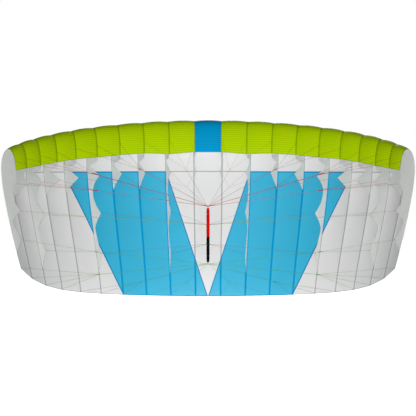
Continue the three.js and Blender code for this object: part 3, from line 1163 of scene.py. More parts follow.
@dataclass
class Canopy:
    """The skin of nineteen cells as one sheet, with two blue panels and the seam across its middle."""

    thickness: float = 0.0005
    rows: int = 104
    hem: float = 0.012
    hem_line: float = 0.009
    seams: Seams = field(default_factory=Seams)
    cross_seam_place: Vector = field(default_factory=lambda: Vector((0.0, 2.658, 0.520)))
    cross_seam_tilt: float = -0.05
    cross_seam_half: float = 0.0075
    cross_seam_last_rib: int = 8
    crossing_halvings: int = 40
    panel_outer_top_rib: int = 6
    panel_outer_top_shift: float = 0.018
    panel_outer_tail_rib: int = 4
    panel_inner_top_rib: int = 2
    panel_inner_top_shift: float = -0.005

    def build(self) -> bpy.types.Object:
        """Returns:
            The finished piece.
        """
        hem_step = 1.0 - self.hem / PLAN.planes[PLAN.cells_per_side].chord / 2.0
        steps = [*PLAN.even_steps(PLAN.band_step, hem_step, self.rows), 1.0]
        sheet = SkinSheet(0, PLAN.cells - 1, steps, self.seams)
        piece = finished_object("canopy_skin", sheet.build(self.dress), CANOPY_CLOTH)
        thickened(piece, self.thickness)
        gores = [f"gore_{side.word}_{n + 1}" for side in Side for n in range(PLAN.cells_per_side)]
        placed_on_wing(piece, "white_cloth", "gore_centre", *gores)
        sheet.flat_size()
        return piece

    def height_over_cross_seam(self, place: Vector) -> float:
        """How far a point lies above the seam across the cells, in metres."""
        normal = Vector((0.0, self.cross_seam_tilt, 1.0)).normalized()
        return (place - self.cross_seam_place).dot(normal)

    def crossing(self, number: int) -> Vector:
        """The point where a rib on the right meets the seam across the cells.

        Args:
            number: the rib, counted from the middle.

        Returns:
            The point.
        """
        plane = PLAN.plane(Side.RIGHT, number)
        low, high = 1.0, PLAN.band_step
        for _ in range(self.crossing_halvings):
            middle = (low + high) / 2.0
            if self.height_over_cross_seam(PLAN.rib_point(plane, middle)) > 0.0:
                high = middle
            else:
                low = middle
        return PLAN.rib_point(plane, low)

    @cached_property
    def panel_edges(self) -> list[tuple[Vector, Vector]]:
        """The slanting edges of the right panel, seen from the bar.

        Returns:
            For each edge a point on it and the way out of the panel.
        """
        tail = PLAN.rib_point(PLAN.plane(Side.RIGHT, self.panel_outer_tail_rib), 1.0)
        centre = PLAN.skin_point(PLAN.cells_per_side, 0.5, 1.0)
        edges = []
        for top_rib, shift, low, sign in (
            (self.panel_outer_top_rib, self.panel_outer_top_shift, tail, 1.0),
            (self.panel_inner_top_rib, self.panel_inner_top_shift, centre, -1.0),
        ):
            run = self.crossing(top_rib) + Vector((shift, 0.0, 0.0)) - low
            out = Vector((run.z, 0.0, -run.x)).normalized() * sign
            edges.append((low, out))
        return edges

    def past_rib(self, point: ClothPoint, number: int) -> float:
        """How far a point lies past a rib of its own side, in metres across the span."""
        return abs(point.across) - PLAN.plane(Side.RIGHT, number).angle * PLAN.arc_radius

    def panel_distance(self, point: ClothPoint) -> float:
        """The distance of a point outside the nearest blue panel.

        Args:
            point: the point.

        Returns:
            The distance in metres, negative within the panel.
        """
        mirrored = Vector((abs(point.place.x), point.place.y, point.place.z))
        slants = [(mirrored - start).dot(out) for start, out in self.panel_edges]
        above = self.height_over_cross_seam(point.place)
        past = self.past_rib(point, self.panel_outer_top_rib)
        return max(above, past, *slants)

    def dress(self, point: ClothPoint) -> ClothPoint:
        """Adds the seam across the cells, the hem and the blue panels to a point of the skin.

        Args:
            point: the point with the seams along its cell.

        Returns:
            The completed point.
        """
        seam = min(point.seam, point.tail / self.hem_line)
        cross = FAR
        if self.past_rib(point, self.cross_seam_last_rib) <= 0.0:
            cross = self.height_over_cross_seam(point.place) / self.cross_seam_half
        return point._replace(seam=seam, cross=cross, panel=self.panel_distance(point))


@dataclass
class LeadingEdgeBand:
    """The doubled cloth round the nose of the cells: green to each side and blue in the middle.

    lip_sag is how much lower the lip hangs at each rib from the middle outwards, in shares of the chord.
    """

    lip_sag: tuple[float, ...] = (0.0057, 0.0131, 0.0031, 0.0034, 0.0046, 0.0, 0.001, 0.004, 0.005, 0.004)
    thickness: float = 0.0011
    rows: int = 96
    lip_hem: float = 0.004
    overlap: float = 0.008
    seams: Seams = field(default_factory=lambda: Seams(cord=0.0004))

    def build(self) -> list[bpy.types.Object]:
        """Builds the three lengths of band.

        Returns:
            The finished pieces.
        """
        middle = PLAN.cells_per_side
        last = PLAN.cells - 1
        return [
            self.length("left", 0, middle - 1, GREEN_BAND_CLOTH, "green_cloth"),
            self.length("centre", middle, middle, BLUE_BAND_CLOTH, "blue_cloth"),
            self.length("right", middle + 1, last, GREEN_BAND_CLOTH, "green_cloth"),
        ]

    def length(self, word: str, first: int, last: int, finish: Finish, slot: str) -> bpy.types.Object:
        """One length of band.

        Args:
            word: the place of the length, as its node is named.
            first: its first cell.
            last: its last cell.
            finish: its cloth.
            slot: the record's slot of that cloth.

        Returns:
            The finished piece.
        """
        overlap = self.overlap / PLAN.planes[PLAN.cells_per_side].chord
        end = PLAN.step_at(PLAN.distance(PLAN.band_step) + overlap)
        steps = PLAN.even_steps(PLAN.lip_step, end, self.rows)
        sheet = SkinSheet(first, last, steps, self.seams, self.lip_sag)
        piece = finished_object(f"band_cloth_{word}", sheet.build(self.dress), finish)
        thickened(piece, self.thickness)
        placed_on_wing(piece, slot, f"band_{word}")
        sheet.flat_size()
        return piece

    def dress(self, point: ClothPoint) -> ClothPoint:
        """Adds the hem along the lip to a point of the band."""
        return point._replace(seam=min(point.seam, point.along / self.lip_hem))


# Ribs


class EdgePoint(NamedTuple):
    """A tooth or hollow of a rib's free edge.

    back is how far back it lies, depth and tip_depth how deep under the skin in the middle of the wing and at
    its tip, and bend how straight the edge runs to it from the point before: 0 is a quarter round and 1 is
    straight.
    """

    back: float
    depth: float
    tip_depth: float
    bend: float = 0.85


LIP_TAB = EdgePoint(0.204, 0.155, 0.175)
FRONT_HOLLOW = EdgePoint(0.227, 0.035, 0.165)
TOOTH_B = EdgePoint(0.293, 0.182, 0.178)
SHORT_RIB_END = EdgePoint(0.383, 0.004, 0.004)
MIDDLE_HOLLOW = EdgePoint(0.383, 0.06, 0.115, 0.55)
TOOTH_C = EdgePoint(0.519, 0.15, 0.163, 0.5)
BACK_HOLLOW = EdgePoint(0.608, 0.033, 0.045, 0.7)
TOOTH_D = EdgePoint(0.76, 0.07, 0.1)
LONG_RIB_END = EdgePoint(0.87, 0.004, 0.004)
SHORT_EDGE = (LIP_TAB, FRONT_HOLLOW, TOOTH_B, SHORT_RIB_END)
LONG_EDGE = (LIP_TAB, FRONT_HOLLOW, TOOTH_B, MIDDLE_HOLLOW, TOOTH_C, BACK_HOLLOW, TOOTH_D, LONG_RIB_END)


def edge_place(plane: RibPlane, point: EdgePoint) -> Vector:
    """A point of a rib's free edge in its plane.

    Args:
        plane: the rib's plane.
        point: the tooth or hollow.

    Returns:
        Its reach past the arc's radius, and its height.
    """
    depth = point.depth + (point.tip_depth - point.depth) * plane.tip_share
    out = PLAN.section(plane, math.sqrt(point.back)).y - depth
    return Vector((out * plane.chord, plane.nose - point.back * plane.chord))


@dataclass
class Ribs:
    """The twenty cloth ribs, with their teeth."""

    thickness: float = 0.0008
    seat: float = 0.0004
    long_ribs: tuple[int, ...] = (2, 5, 8, 10)
    nose_stations: int = 14
    tab_stations: int = 3
    curve_stations: int = 10
    depth_faces: int = 8
    seam_half: float = 0.005
    flutter: float = 0.0025
    flutter_length: float = 0.12
    flutter_change: float = 1.9
    cut_allowance: float = 1.5

    def build(self) -> list[bpy.types.Object]:
        """Builds the ribs from tip to tip."""
        return [self.rib(plane) for plane in PLAN.planes]

    def stations(self, plane: RibPlane) -> Iterator[tuple[Vector, Vector]]:
        """Matching points of a rib's seam and of its free edge, from the nose back.

        Args:
            plane: the rib's plane.

        Returns:
            Pairs of points.
        """
        for station in range(1, self.nose_stations + 1):
            step = PLAN.lip_step * station / self.nose_stations
            yield PLAN.rib_point(plane, -step, -self.seat), PLAN.rib_point(plane, step, -self.seat)
        edge = LONG_EDGE if abs(plane.number) in self.long_ribs else SHORT_EDGE
        lip = PLAN.section(plane, PLAN.lip_step)
        lip_place = Vector((lip.y * plane.chord, plane.nose - lip.x * plane.chord))
        points = [edge_place(plane, point) for point in edge]
        for station in range(1, self.tab_stations + 1):
            yield self.under_skin(plane, lip_place.lerp(points[0], station / self.tab_stations))
        for start, end, reached in zip(points, points[1:], edge[1:]):
            hollow, tooth = (start, end) if start.x > end.x else (end, start)
            bend = Vector((hollow.x, tooth.y + (hollow.y - tooth.y) * reached.bend))
            for station in range(1, self.curve_stations + 1):
                share = station / self.curve_stations
                yield self.under_skin(plane, start.lerp(bend, share).lerp(bend.lerp(end, share), share))

    def under_skin(self, plane: RibPlane, place: Vector) -> tuple[Vector, Vector]:
        """A point of the free edge with the point of the seam at the same height."""
        back = (plane.nose - place.y) / plane.chord
        return PLAN.rib_point(plane, math.sqrt(back), -self.seat), PLAN.placed(plane, place.x, place.y)

    def rib(self, plane: RibPlane) -> bpy.types.Object:
        """Args:
            plane: the rib's plane.

        Returns:
            The finished piece.
        """
        stations = list(self.stations(plane))
        sideways = plane.outward.cross(Vector((0.0, 0.0, 1.0)))
        low = min(free.z for _, free in stations)

        def point_at(column: int, row: int) -> ClothPoint:
            """A point of the rib.

            Args:
                column: the station along the rib.
                row: the row from the seam to the free edge.

            Returns:
                The point.
            """
            seam, free = stations[column]
            share = row / self.depth_faces
            deep = (free - seam).length
            place = seam.lerp(free, share)
            spot = Vector((place.z, deep * share, plane.number * self.flutter_change))
            wave = noise.noise(spot / self.flutter_length)
            place += sideways * (self.flutter * wave * arch(share))
            edge = min(share, 1.0 - share) * deep / self.seam_half
            return ClothPoint(place, deep * share, place.z - low, edge)

        bm = cloth_sheet(len(stations) - 1, self.depth_faces, point_at)
        piece = finished_object(f"rib_cloth_{plane.name}", bm, RIB_CLOTH)
        thickened(piece, self.thickness)
        placed_on_wing(piece, "rib_cloth", f"rib_{plane.name}")
        area = mesh_area(piece)
        length = plane.nose - low
        area / length * self.cut_allowance
        return piece


# Hand bar


@dataclass(frozen=True)
class BarSizes:
    """Sizes of the hand bar, as its solids have them."""

    length: float = 0.358
    radius: float = 0.0102
    tip_radius: float = 0.0054
    cap: float = 0.039
    joint_z: float = -0.012
    gap: float = 0.0003
    collar_wall: float = 0.0015
    collar_height: float = 0.009
    collar_c_z: float = 0.068
    collar_d_z: float = -0.061
    collar_tab: float = 0.012
    tab_thickness: float = 0.003
    tab_width: float = 0.011
    tab_reach: float = 0.016

    @property
    def grip_end(self) -> float:
        """The height of the grips' outer ends."""
        return self.length / 2.0 - self.cap - self.gap / 2.0

    def anchor(self, anchor: Anchor) -> Vector:
        """The middle of the place where a set of lines is tied.

        Args:
            anchor: the place on the bar.

        Returns:
            The point.
        """
        tab_z = self.length / 2.0 + self.gap + self.tab_reach - self.tab_width / 2.0
        collar_y = self.radius + self.gap + self.collar_wall / 2.0 + self.collar_tab
        collar_y -= self.collar_height / 2.0
        return {
            Anchor.FRONT: Vector((0.0, 0.0, tab_z)),
            Anchor.COLLAR_C: Vector((0.0, collar_y, self.collar_c_z)),
            Anchor.COLLAR_D: Vector((0.0, collar_y, self.collar_d_z)),
            Anchor.REAR: Vector((0.0, 0.0, -tab_z)),
        }[anchor]


BAR = BarSizes()


@dataclass
class HandBar:
    """The grips, end caps, webbing tabs and collars of the bar."""

    turns: int = 40
    merge_distance: float = 1e-6
    edge: float = 0.0012
    edge_round: float = 0.3
    cap_rows: int = 10
    bevel: float = 0.0004
    bevel_segments: int = 2
    tab_turns: int = 12
    ring_depth: float = 0.0007
    ring_height: float = 0.009

    @property
    def ring_top(self) -> float:
        """The height of the upper edge of a grip's shallow ring."""
        return BAR.grip_end - self.edge

    @property
    def ring_foot(self) -> float:
        """The height of the lower edge of a grip's shallow ring."""
        return self.ring_top - self.ring_height

    def build(self) -> list[bpy.types.Object]:
        """Builds the bar's pieces from front to rear.

        Returns:
            The finished pieces.
        """
        flip = Matrix.Rotation(math.pi, 4, "Y")
        upright = Matrix.Identity(4)
        front = self.grip_profile(BAR.joint_z + BAR.gap / 2.0)
        rear = self.grip_profile(-BAR.joint_z + BAR.gap / 2.0)
        pieces = {
            self.turned("bar_cap_front", self.cap_profile(), upright, RED_GRIP): "red_grip",
            self.turned("bar_grip_front", front, upright, RED_GRIP, RED_RING_PAINTED_SHADE): "red_grip",
            self.turned("bar_grip_rear", rear, flip, BLACK_GRIP, BLACK_RING_PAINTED_HIGHLIGHT): "black_grip",
            self.turned("bar_cap_rear", self.cap_profile(), flip, BLACK_GRIP): "black_grip",
            self.end_tab("bar_tab_front", upright, RED_WEBBING): RED_WEBBING.name,
            self.end_tab("bar_tab_rear", flip, BLACK_WEBBING): BLACK_WEBBING.name,
            self.collar("bar_collar_c", BAR.collar_c_z, RED_WEBBING): RED_WEBBING.name,
            self.collar("bar_collar_d", BAR.collar_d_z, BLACK_WEBBING): BLACK_WEBBING.name,
        }
        for piece, slot in pieces.items():
            placed_on_wing(piece, slot, piece.name.removeprefix("bar_"))
        return list(pieces)

    def grip_profile(self, inner: float) -> list[tuple[float, float]]:
        """The half section of a grip with rounded rims and a shallow ring near its outer end.

        Args:
            inner: the height of the grip's end at the joint between the two grips.

        Returns:
            Radii and heights from the axis at the joint to the axis at the outer end.
        """
        outer = BAR.grip_end
        rim = BAR.radius - self.edge
        turn = self.edge * self.edge_round
        floor = BAR.radius - self.ring_depth
        return [(0.0, inner), (rim, inner), (BAR.radius - turn, inner + turn),
                (BAR.radius, inner + self.edge), (BAR.radius, self.ring_foot),
                (floor, self.ring_foot + self.ring_depth), (floor, self.ring_top - self.ring_depth),
                (BAR.radius, self.ring_top), (BAR.radius - turn, outer - turn), (rim, outer), (0.0, outer)]

    def cap_profile(self) -> list[tuple[float, float]]:
        """The half section of an end cap, up to its small flat tip.

        Returns:
            Radii and heights from axis to axis.
        """
        start = BAR.length / 2.0 - BAR.cap + BAR.gap / 2.0
        height = BAR.length / 2.0 - start
        profile = [(0.0, start), (BAR.radius - self.edge, start)]
        for row in range(1, self.cap_rows + 1):
            angle = math.pi / 2.0 * row / self.cap_rows
            radius = BAR.tip_radius + (BAR.radius - BAR.tip_radius) * math.cos(angle)
            profile.append((radius, start + height * math.sin(angle)))
        return [*profile, (0.0, BAR.length / 2.0)]

    def turned(self, name: str, profile: list[tuple[float, float]], turn: Matrix,
               *finishes: Finish) -> bpy.types.Object:
        """A piece spun from its half section.

        Args:
            name: the piece's name.
            profile: radii and heights from axis to axis.
            turn: where the piece is turned to.
            finishes: its finish, and that of the shallow ring if it has one, which is painted shade on the red
                grip and a painted highlight on the black one.

        Returns:
            The finished piece.
        """
        bm = bmesh.new()
        self.spin(bm, [Vector((radius, 0.0, height)) for radius, height in profile])
        # The shallow ring takes the second finish: painted shade on the red grip, a painted highlight on the
        # black one.
        if len(finishes) > 1:
            for face in bm.faces:
                if self.ring_foot < face.calc_center_median().z < self.ring_top:
                    face.material_index = 1
        bmesh.ops.transform(bm, matrix=turn, verts=bm.verts)
        return finished_object(name, bm, *finishes)

    def spin(self, bm: bmesh.types.BMesh, profile: list[Vector], closed: bool = False) -> None:
        """Spins a half section once round the bar's axis.

        Args:
            bm: the mesh that takes it.
            profile: the section's points.
            closed: whether its last point joins its first.
        """
        verts = [bm.verts.new(point) for point in profile]
        pairs = list(zip(verts, verts[1:]))
        if closed:
            pairs.append((verts[-1], verts[0]))
        edges = [bm.edges.new(pair) for pair in pairs]
        bmesh.ops.spin(bm, geom=[*verts, *edges], cent=(0.0, 0.0, 0.0), axis=(0.0, 0.0, 1.0), angle=math.tau,
                       steps=self.turns, use_merge=True)
        bmesh.ops.remove_doubles(bm, verts=bm.verts, dist=self.merge_distance)
        bmesh.ops.recalc_face_normals(bm, faces=bm.faces)

    def soften(self, bm: bmesh.types.BMesh, edges: Sequence[bmesh.types.BMEdge]) -> None:
        """Rounds some edges of a piece of webbing."""
        bmesh.ops.bevel(bm, geom=list(edges), offset=self.bevel, affect="EDGES", segments=self.bevel_segments,
                        profile=0.5, material=-1)

    def end_tab(self, name: str, turn: Matrix, finish: Finish) -> bpy.types.Object:
        """A webbing tab with a round end, standing up from the bar's end.

        Args:
            name: the piece's name.
            turn: where the piece is turned to.
            finish: its webbing.

        Returns:
            The finished piece.
        """
        half = BAR.tab_width / 2.0
        foot = BAR.length / 2.0 + BAR.gap
        bm = bmesh.new()
        outline = [Vector((0.0, -half, foot)), Vector((0.0, half, foot))]
        centre = Vector((0.0, 0.0, foot + BAR.tab_reach - half))
        for step in range(self.tab_turns + 1):
            angle = math.pi * step / self.tab_turns
            outline.append(centre + Vector((0.0, math.cos(angle), math.sin(angle))) * half)
        face = bm.faces.new([bm.verts.new(point) for point in outline])
        raised = bmesh.ops.extrude_face_region(bm, geom=[face])
        risen = [item for item in raised["geom"] if isinstance(item, bmesh.types.BMVert)]
        bmesh.ops.translate(bm, vec=(BAR.tab_thickness, 0.0, 0.0), verts=risen)
        bmesh.ops.translate(bm, vec=(-BAR.tab_thickness / 2.0, 0.0, 0.0), verts=bm.verts)
        bmesh.ops.recalc_face_normals(bm, faces=bm.faces)
        self.soften(bm, bm.edges)
        bmesh.ops.transform(bm, matrix=turn, verts=bm.verts)
        return finished_object(name, bm, finish)

    def collar(self, name: str, height: float, finish: Finish) -> bpy.types.Object:
        """A band of webbing round the grip, with a tab towards the canopy.

        Args:
            name: the piece's name.
            height: the height of its middle.
            finish: its webbing.

        Returns:
            The finished piece.
        """
        inside = BAR.radius + BAR.gap
        outside = inside + BAR.collar_wall
        half = BAR.collar_height / 2.0
        edge = self.bevel
        section = [(inside, -half), (outside - edge, -half), (outside, -half + edge), (outside, half - edge),
                   (outside - edge, half), (inside, half)]
        bm = bmesh.new()
        self.spin(bm, [Vector((radius, 0.0, z + height)) for radius, z in section], closed=True)
        start = inside + BAR.collar_wall / 2.0
        middle = Matrix.Translation((0.0, start + BAR.collar_tab / 2.0, height))
        size = Matrix.Diagonal((BAR.tab_thickness, BAR.collar_tab, BAR.collar_height, 1.0))
        tab = bmesh.ops.create_cube(bm, size=1.0, matrix=middle @ size)
        self.soften(bm, list(dict.fromkeys(side for vert in tab["verts"] for side in vert.link_edges)))
        return finished_object(name, bm, finish)


# Lines


class Knot(NamedTuple):
    """A knot or splice, drawn out along its line. past is how far its middle lies beyond where it is tied."""

    radius: float
    length: float
    past: float = 0.0


class Weight(Enum):
    """The weights of the lines: the radius of the main line and of its branches, and the knot at the fork."""

    FINE = (0.0007, 0.0005, Knot(0.0018, 0.010))
    LIGHT = (0.0011, 0.0008, Knot(0.0026, 0.012))
    SPLICED = (0.0011, 0.0008, Knot(0.0036, 0.060, 0.015))
    SHEATHED = (0.0011, 0.0008, Knot(0.0038, 0.100, 0.028))
    STRONG = (0.0015, 0.0008, Knot(0.0042, 0.120, 0.030))

    @property
    def main_radius(self) -> float:
        """The radius of the main line."""
        return self.value[0]

    @property
    def branch_radius(self) -> float:
        """The radius of the branches."""
        return self.value[1]

    @property
    def knot(self) -> Knot:
        """The knot where the main line forks."""
        return self.value[2]


class LineTree(NamedTuple):
    """Lines from one place on the bar to one point of several ribs, with a fork at a share of the way."""

    point: RibPoint
    ribs: tuple[int, ...]
    fork: float | None = None
    weight: Weight = Weight.LIGHT


class LineSet(NamedTuple):
    """The lines of one colour that leave the bar at one place."""

    name: str
    anchor: Anchor
    finish: BraidedLine
    trees: tuple[LineTree, ...]


INNER_RIBS = (1, 2, 3)
MIDDLE_RIBS = (4, 5, 6)
OUTER_RIBS = (7, 8, 9, 10)
TIP_RIBS = (8, 10)
LINE_SETS = (
    LineSet("front_lines", Anchor.FRONT, RED_LINE, (
        LineTree(RibPoint.A, INNER_RIBS, 0.47, Weight.FINE),
        LineTree(RibPoint.A, MIDDLE_RIBS, 0.53, Weight.SPLICED),
        LineTree(RibPoint.A, OUTER_RIBS, 0.577, Weight.STRONG),
        LineTree(RibPoint.B, INNER_RIBS, 0.47, Weight.FINE),
        LineTree(RibPoint.B, MIDDLE_RIBS, 0.53, Weight.SPLICED),
        LineTree(RibPoint.B, OUTER_RIBS, 0.59, Weight.SHEATHED),
    )),
    LineSet("middle_lines", Anchor.COLLAR_C, OLIVE_LINE, (
        LineTree(RibPoint.C, (2,)),
        LineTree(RibPoint.C, (5,)),
        LineTree(RibPoint.C, TIP_RIBS, 0.58),
    )),
    LineSet("back_lines", Anchor.COLLAR_D, GREY_LINE, (
        LineTree(RibPoint.D, (2,)),
        LineTree(RibPoint.D, (5,)),
    )),
    LineSet("rear_lines", Anchor.REAR, GREEN_LINE, (
        LineTree(RibPoint.D, TIP_RIBS, 0.58, Weight.SPLICED),
        LineTree(RibPoint.TRAILING, INNER_RIBS, 0.48, Weight.FINE),
        LineTree(RibPoint.TRAILING, MIDDLE_RIBS, 0.55, Weight.SPLICED),
        LineTree(RibPoint.TRAILING, OUTER_RIBS, 0.59, Weight.SPLICED),
    )),
)


@dataclass
class Rigging:
    """The lines of both sides with their knots and the loops that hold them to the ribs."""

    anchor_knot: Knot = Knot(0.0032, 0.0064)
    loop_knot: Knot = Knot(0.0012, 0.018)
    loop_radius: float = 0.004
    sides: int = 8
    knot_rounds: int = 2
    loop_turns: int = 14
    point_a_back: float = 0.11
    trailing_back: float = 0.994
    clear: float = 0.0006

    def build(self) -> list[bpy.types.Object]:
        """Builds each set of lines on each side."""
        return [self.line_set(lines, side) for lines in LINE_SETS for side in Side]

    def seat(self, plane: RibPlane, point: RibPoint) -> Vector:
        """The place on a rib where a line is tied.

        Args:
            plane: the rib's plane.
            point: which of the rib's places it is.

        Returns:
            The point.
        """
        if point is RibPoint.A:
            return PLAN.rib_point(plane, -math.sqrt(self.point_a_back), self.clear)
        if point is RibPoint.TRAILING:
            return PLAN.rib_point(plane, math.sqrt(self.trailing_back), -self.clear)
        tooth = {RibPoint.B: TOOTH_B, RibPoint.C: TOOTH_C, RibPoint.D: TOOTH_D}[point]
        place = edge_place(plane, tooth)
        return PLAN.placed(plane, place.x, place.y)

    def line_set(self, lines: LineSet, side: Side) -> bpy.types.Object:
        """Builds one set of lines on one side.

        Args:
            lines: the set.
            side: its side.

        Returns:
            The finished piece.
        """
        aside = BAR.tab_thickness / 2.0 + BAR.gap + self.anchor_knot.radius
        start = BAR.anchor(lines.anchor) + Vector((side.value * aside, 0.0, 0.0))
        bm = bmesh.new()
        bm.verts.layers.float.new(ALONG)
        self.knot(bm, start, Vector((0.0, 0.0, 1.0)), self.anchor_knot)
        for tree in lines.trees:
            planes = [PLAN.plane(side, number) for number in tree.ribs]
            seats = [self.seat(plane, tree.point) for plane in planes]
            fork = start
            if tree.fork is not None:
                fork = start.lerp(sum(seats, Vector()) / len(seats), tree.fork)
                self.run(bm, start, fork, tree.weight.main_radius)
                self.knot(bm, fork, fork - start, tree.weight.knot)
            for plane, seat in zip(planes, seats):
                self.run(bm, fork, seat, tree.weight.branch_radius)
                self.loop(bm, seat, (fork - seat).normalized(), plane, tree.weight.branch_radius)
        bmesh.ops.recalc_face_normals(bm, faces=bm.faces)
        name = f"{lines.name}_{side.word}"
        piece = finished_object(f"cord_{name}", bm, lines.finish)
        placed_on_wing(piece, lines.finish.name, name)
        return piece

    def run(self, bm: bmesh.types.BMesh, start: Vector, end: Vector, radius: float) -> None:
        """Adds a straight taut line between two points.

        Args:
            bm: the mesh that takes it.
            start: its first end.
            end: its other end.
            radius: its radius.
        """
        way = end - start
        matrix = Matrix.Translation(start.lerp(end, 0.5)) @ aimed(way)
        made = bmesh.ops.create_cone(bm, cap_ends=True, segments=self.sides, radius1=radius, radius2=radius,
                                     depth=way.length, matrix=matrix)
        self.measure(bm, made["verts"], start, way)

    def knot(self, bm: bmesh.types.BMesh, place: Vector, way: Vector, knot: Knot) -> None:
        """Adds a knot drawn out along a line.

        Args:
            bm: the mesh that takes it.
            place: where it is tied.
            way: the way that the line runs.
            knot: its size.
        """
        size = Matrix.Diagonal((knot.radius, knot.radius, knot.length / 2.0, 1.0))
        matrix = Matrix.Translation(place + way.normalized() * knot.past) @ aimed(way) @ size
        made = bmesh.ops.create_icosphere(bm, subdivisions=self.knot_rounds, radius=1.0, matrix=matrix)
        self.measure(bm, made["verts"], place, way)

    def loop(self, bm: bmesh.types.BMesh, seat: Vector, way: Vector, plane: RibPlane, radius: float) -> None:
        """Adds the loop at a line's end, through the rib's edge, and the splice that closes it.

        Args:
            bm: the mesh that takes it.
            seat: the end of the line.
            way: the way from there along the line.
            plane: the rib's plane.
            radius: the line's radius.
        """
        sideways = plane.outward.cross(Vector((0.0, 0.0, 1.0)))
        axis = way.cross(sideways).normalized()
        section = Matrix.Translation(seat + way * self.loop_radius * 2.0) @ aimed(way.cross(axis))
        made = bmesh.ops.create_circle(bm, cap_ends=False, segments=self.sides, radius=radius, matrix=section)
        edges = dict.fromkeys(edge for vert in made["verts"] for edge in vert.link_edges)
        bmesh.ops.spin(bm, geom=[*made["verts"], *edges], cent=seat + way * self.loop_radius, axis=axis,
                       angle=math.tau, steps=self.loop_turns, use_merge=True)
        middle = seat + way * (self.loop_radius * 2.0 + self.loop_knot.length / 2.0)
        self.knot(bm, middle, way, self.loop_knot)

    def measure(self, bm: bmesh.types.BMesh, verts: list[bmesh.types.BMVert], start: Vector,
                way: Vector) -> None:
        """Keeps the distance along a line on its points.

        Args:
            bm: the mesh that holds the line.
            verts: the line's points.
            start: where the distance is 0.
            way: the way that the line runs.
        """
        along = bm.verts.layers.float[ALONG]
        for vert in verts:
            vert[along] = (vert.co - start).dot(way.normalized())


# Studio


class Reach(Enum):
    """What a light falls on, of the pieces that are named for it."""

    THESE = "INCLUDE"
    ALL_OTHERS = "EXCLUDE"


@dataclass(frozen=True)
class SoftLight:
    """A square area light that looks at a point."""

    name: str
    place: Vector
    target: Vector
    size: float
    power: float
    spread: float = math.pi

    def build(self) -> bpy.types.Object:
        """Adds the light to the scene.

        Returns:
            The light.
        """
        lamp = bpy.data.lights.new(self.name, "AREA")
        lamp.size = self.size
        lamp.energy = self.power
        lamp.spread = self.spread
        light = bpy.data.objects.new(self.name, lamp)
        light.location = self.place
        light.rotation_euler = (self.target - self.place).to_track_quat("-Z", "Y").to_euler()
        bpy.context.scene.collection.objects.link(light)
        return light

    def on_side(self, side: Side) -> SoftLight:
        """The same light on one side, its target being in the middle."""
        place = Vector((side.value * self.place.x, self.place.y, self.place.z))
        return replace(self, name=f"{self.name}_{side.word}", place=place)

    def build_for(self, pieces: Sequence[bpy.types.Object], reach: Reach) -> bpy.types.Object:
        """Adds the light for some pieces only, or for all the others.

        Args:
            pieces: the pieces.
            reach: whether the light falls on them or on all the others.

        Returns:
            The light.
        """
        light = self.build()
        linked = bpy.data.collections.new(f"{self.name}_pieces")
        for piece in pieces:
            linked.objects.link(piece)
        for member in linked.collection_objects:
            member.light_linking.link_state = reach.value
        light.light_linking.receiver_collection = linked
        return light


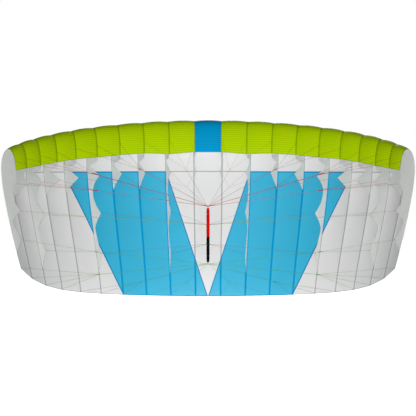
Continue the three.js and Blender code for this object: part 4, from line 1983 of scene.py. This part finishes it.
@dataclass
class Studio:
    """Camera, lights, white background and pale floor.

    The fill lights reach only the ribs, which the key and the low lights leave out. Only the key and the rear
    light cast shadows, because light comes through the thin cloth.
    """

    eye: Vector = field(default_factory=lambda: Vector((0.0, -6.320, 0.178)))
    focal_pixels: float = 960.0
    image_pixels: float = 416.0
    sensor: float = 36.0
    sight: float = 200.0
    floor_z: float = -1.35
    floor_half: float = 40.0
    ambient: float = 0.195
    key_place: Vector = field(default_factory=lambda: Vector((0.0, -6.6, 0.178)))
    key_size: float = 0.6
    key_power: float = 26.0
    key_spread: float = math.radians(50.0)
    low_place: Vector = field(default_factory=lambda: Vector((4.0, -6.0, -4.5)))
    low_size: float = 1.5
    low_power: float = 405.0
    fill_place: Vector = field(default_factory=lambda: Vector((9.0, 0.8, 0.2)))
    fill_size: float = 3.0
    fill_power: float = 375.0
    rear_place: Vector = field(default_factory=lambda: Vector((1.5, 9.5, 4.0)))
    rear_size: float = 5.0
    rear_power: float = 600.0
    middle: Vector = field(default_factory=lambda: Vector((0.0, 2.3, 0.15)))

    def build(self) -> None:
        """Builds the studio round the wing, apart from its lights."""
        self.build_camera()
        self.build_floor()
        self.build_world()
        bpy.context.scene.view_settings.view_transform = "Standard"

    def build_lights(self, ribs: Sequence[bpy.types.Object]) -> None:
        """Adds the lights.

        Args:
            ribs: the ribs, which the lights in front leave to the fill lights.
        """
        rear = SoftLight("rear_light", self.rear_place, self.middle, self.rear_size, self.rear_power)
        rear.build()
        key = SoftLight("key_light", self.key_place, self.middle, self.key_size, self.key_power,
                        self.key_spread)
        key.build_for(ribs, Reach.ALL_OTHERS)
        low = SoftLight("low_light", self.low_place, self.middle, self.low_size, self.low_power)
        fill = SoftLight("fill_light", self.fill_place, self.middle, self.fill_size, self.fill_power)
        for side in Side:
            for light, reach in ((low, Reach.ALL_OTHERS), (fill, Reach.THESE)):
                lamp = light.on_side(side).build_for(ribs, reach).data
                lamp.use_shadow = False
                lamp.cycles.max_bounces = 0

    def build_camera(self) -> None:
        """Sets the camera level, in front of the bar."""
        lens = bpy.data.cameras.new("camera")
        lens.sensor_width = self.sensor
        lens.lens = self.focal_pixels / self.image_pixels * self.sensor
        lens.clip_end = self.sight
        camera = bpy.data.objects.new("camera", lens)
        camera.location = self.eye
        camera.rotation_euler = (math.pi / 2.0, 0.0, 0.0)
        bpy.context.scene.collection.objects.link(camera)
        bpy.context.scene.camera = camera

    def build_floor(self) -> None:
        """Lays the floor under the wing."""
        bm = bmesh.new()
        bmesh.ops.create_grid(bm, x_segments=1, y_segments=1, size=self.floor_half)
        bmesh.ops.translate(bm, vec=(0.0, 0.0, self.floor_z), verts=bm.verts)
        floor = finished_object("floor", bm, PaleFloor())
        floor.visible_diffuse = False
        floor.visible_glossy = False

    def build_world(self) -> None:
        """Makes the background white, with a softer light from all round."""
        world = bpy.data.worlds.new("studio")
        bpy.context.scene.world = world
        graph = Graph(world)
        path = graph.node("ShaderNodeLightPath")
        seen = Sock(graph, path.outputs["Is Camera Ray"])
        mirrored = Sock(graph, path.outputs["Is Glossy Ray"])
        strength = seen + (1.0 - seen) * (1.0 - mirrored) * self.ambient
        white = (1.0, 1.0, 1.0, 1.0)
        light = graph.out("ShaderNodeBackground", inputs={"Color": white, "Strength": strength})
        graph.node("ShaderNodeOutputWorld", inputs={"Surface": light})


def main() -> None:
    """Builds the studio and then the wing, from the canopy to the bar, and reports each piece."""
    logging.basicConfig(level=logging.INFO, format="%(name)s: %(message)s")
    studio = Studio()
    studio.build()
    canopy = Canopy().build()
    band = LeadingEdgeBand().build()
    ribs = Ribs().build()
    lines = Rigging().build()
    bar = HandBar().build()
    studio.build_lights(ribs)
    for piece in (canopy, *band, *ribs, *lines, *bar):
        LOG.info("%s has %d faces", piece.name, len(piece.data.polygons))


if __name__ == "__main__":
    main()
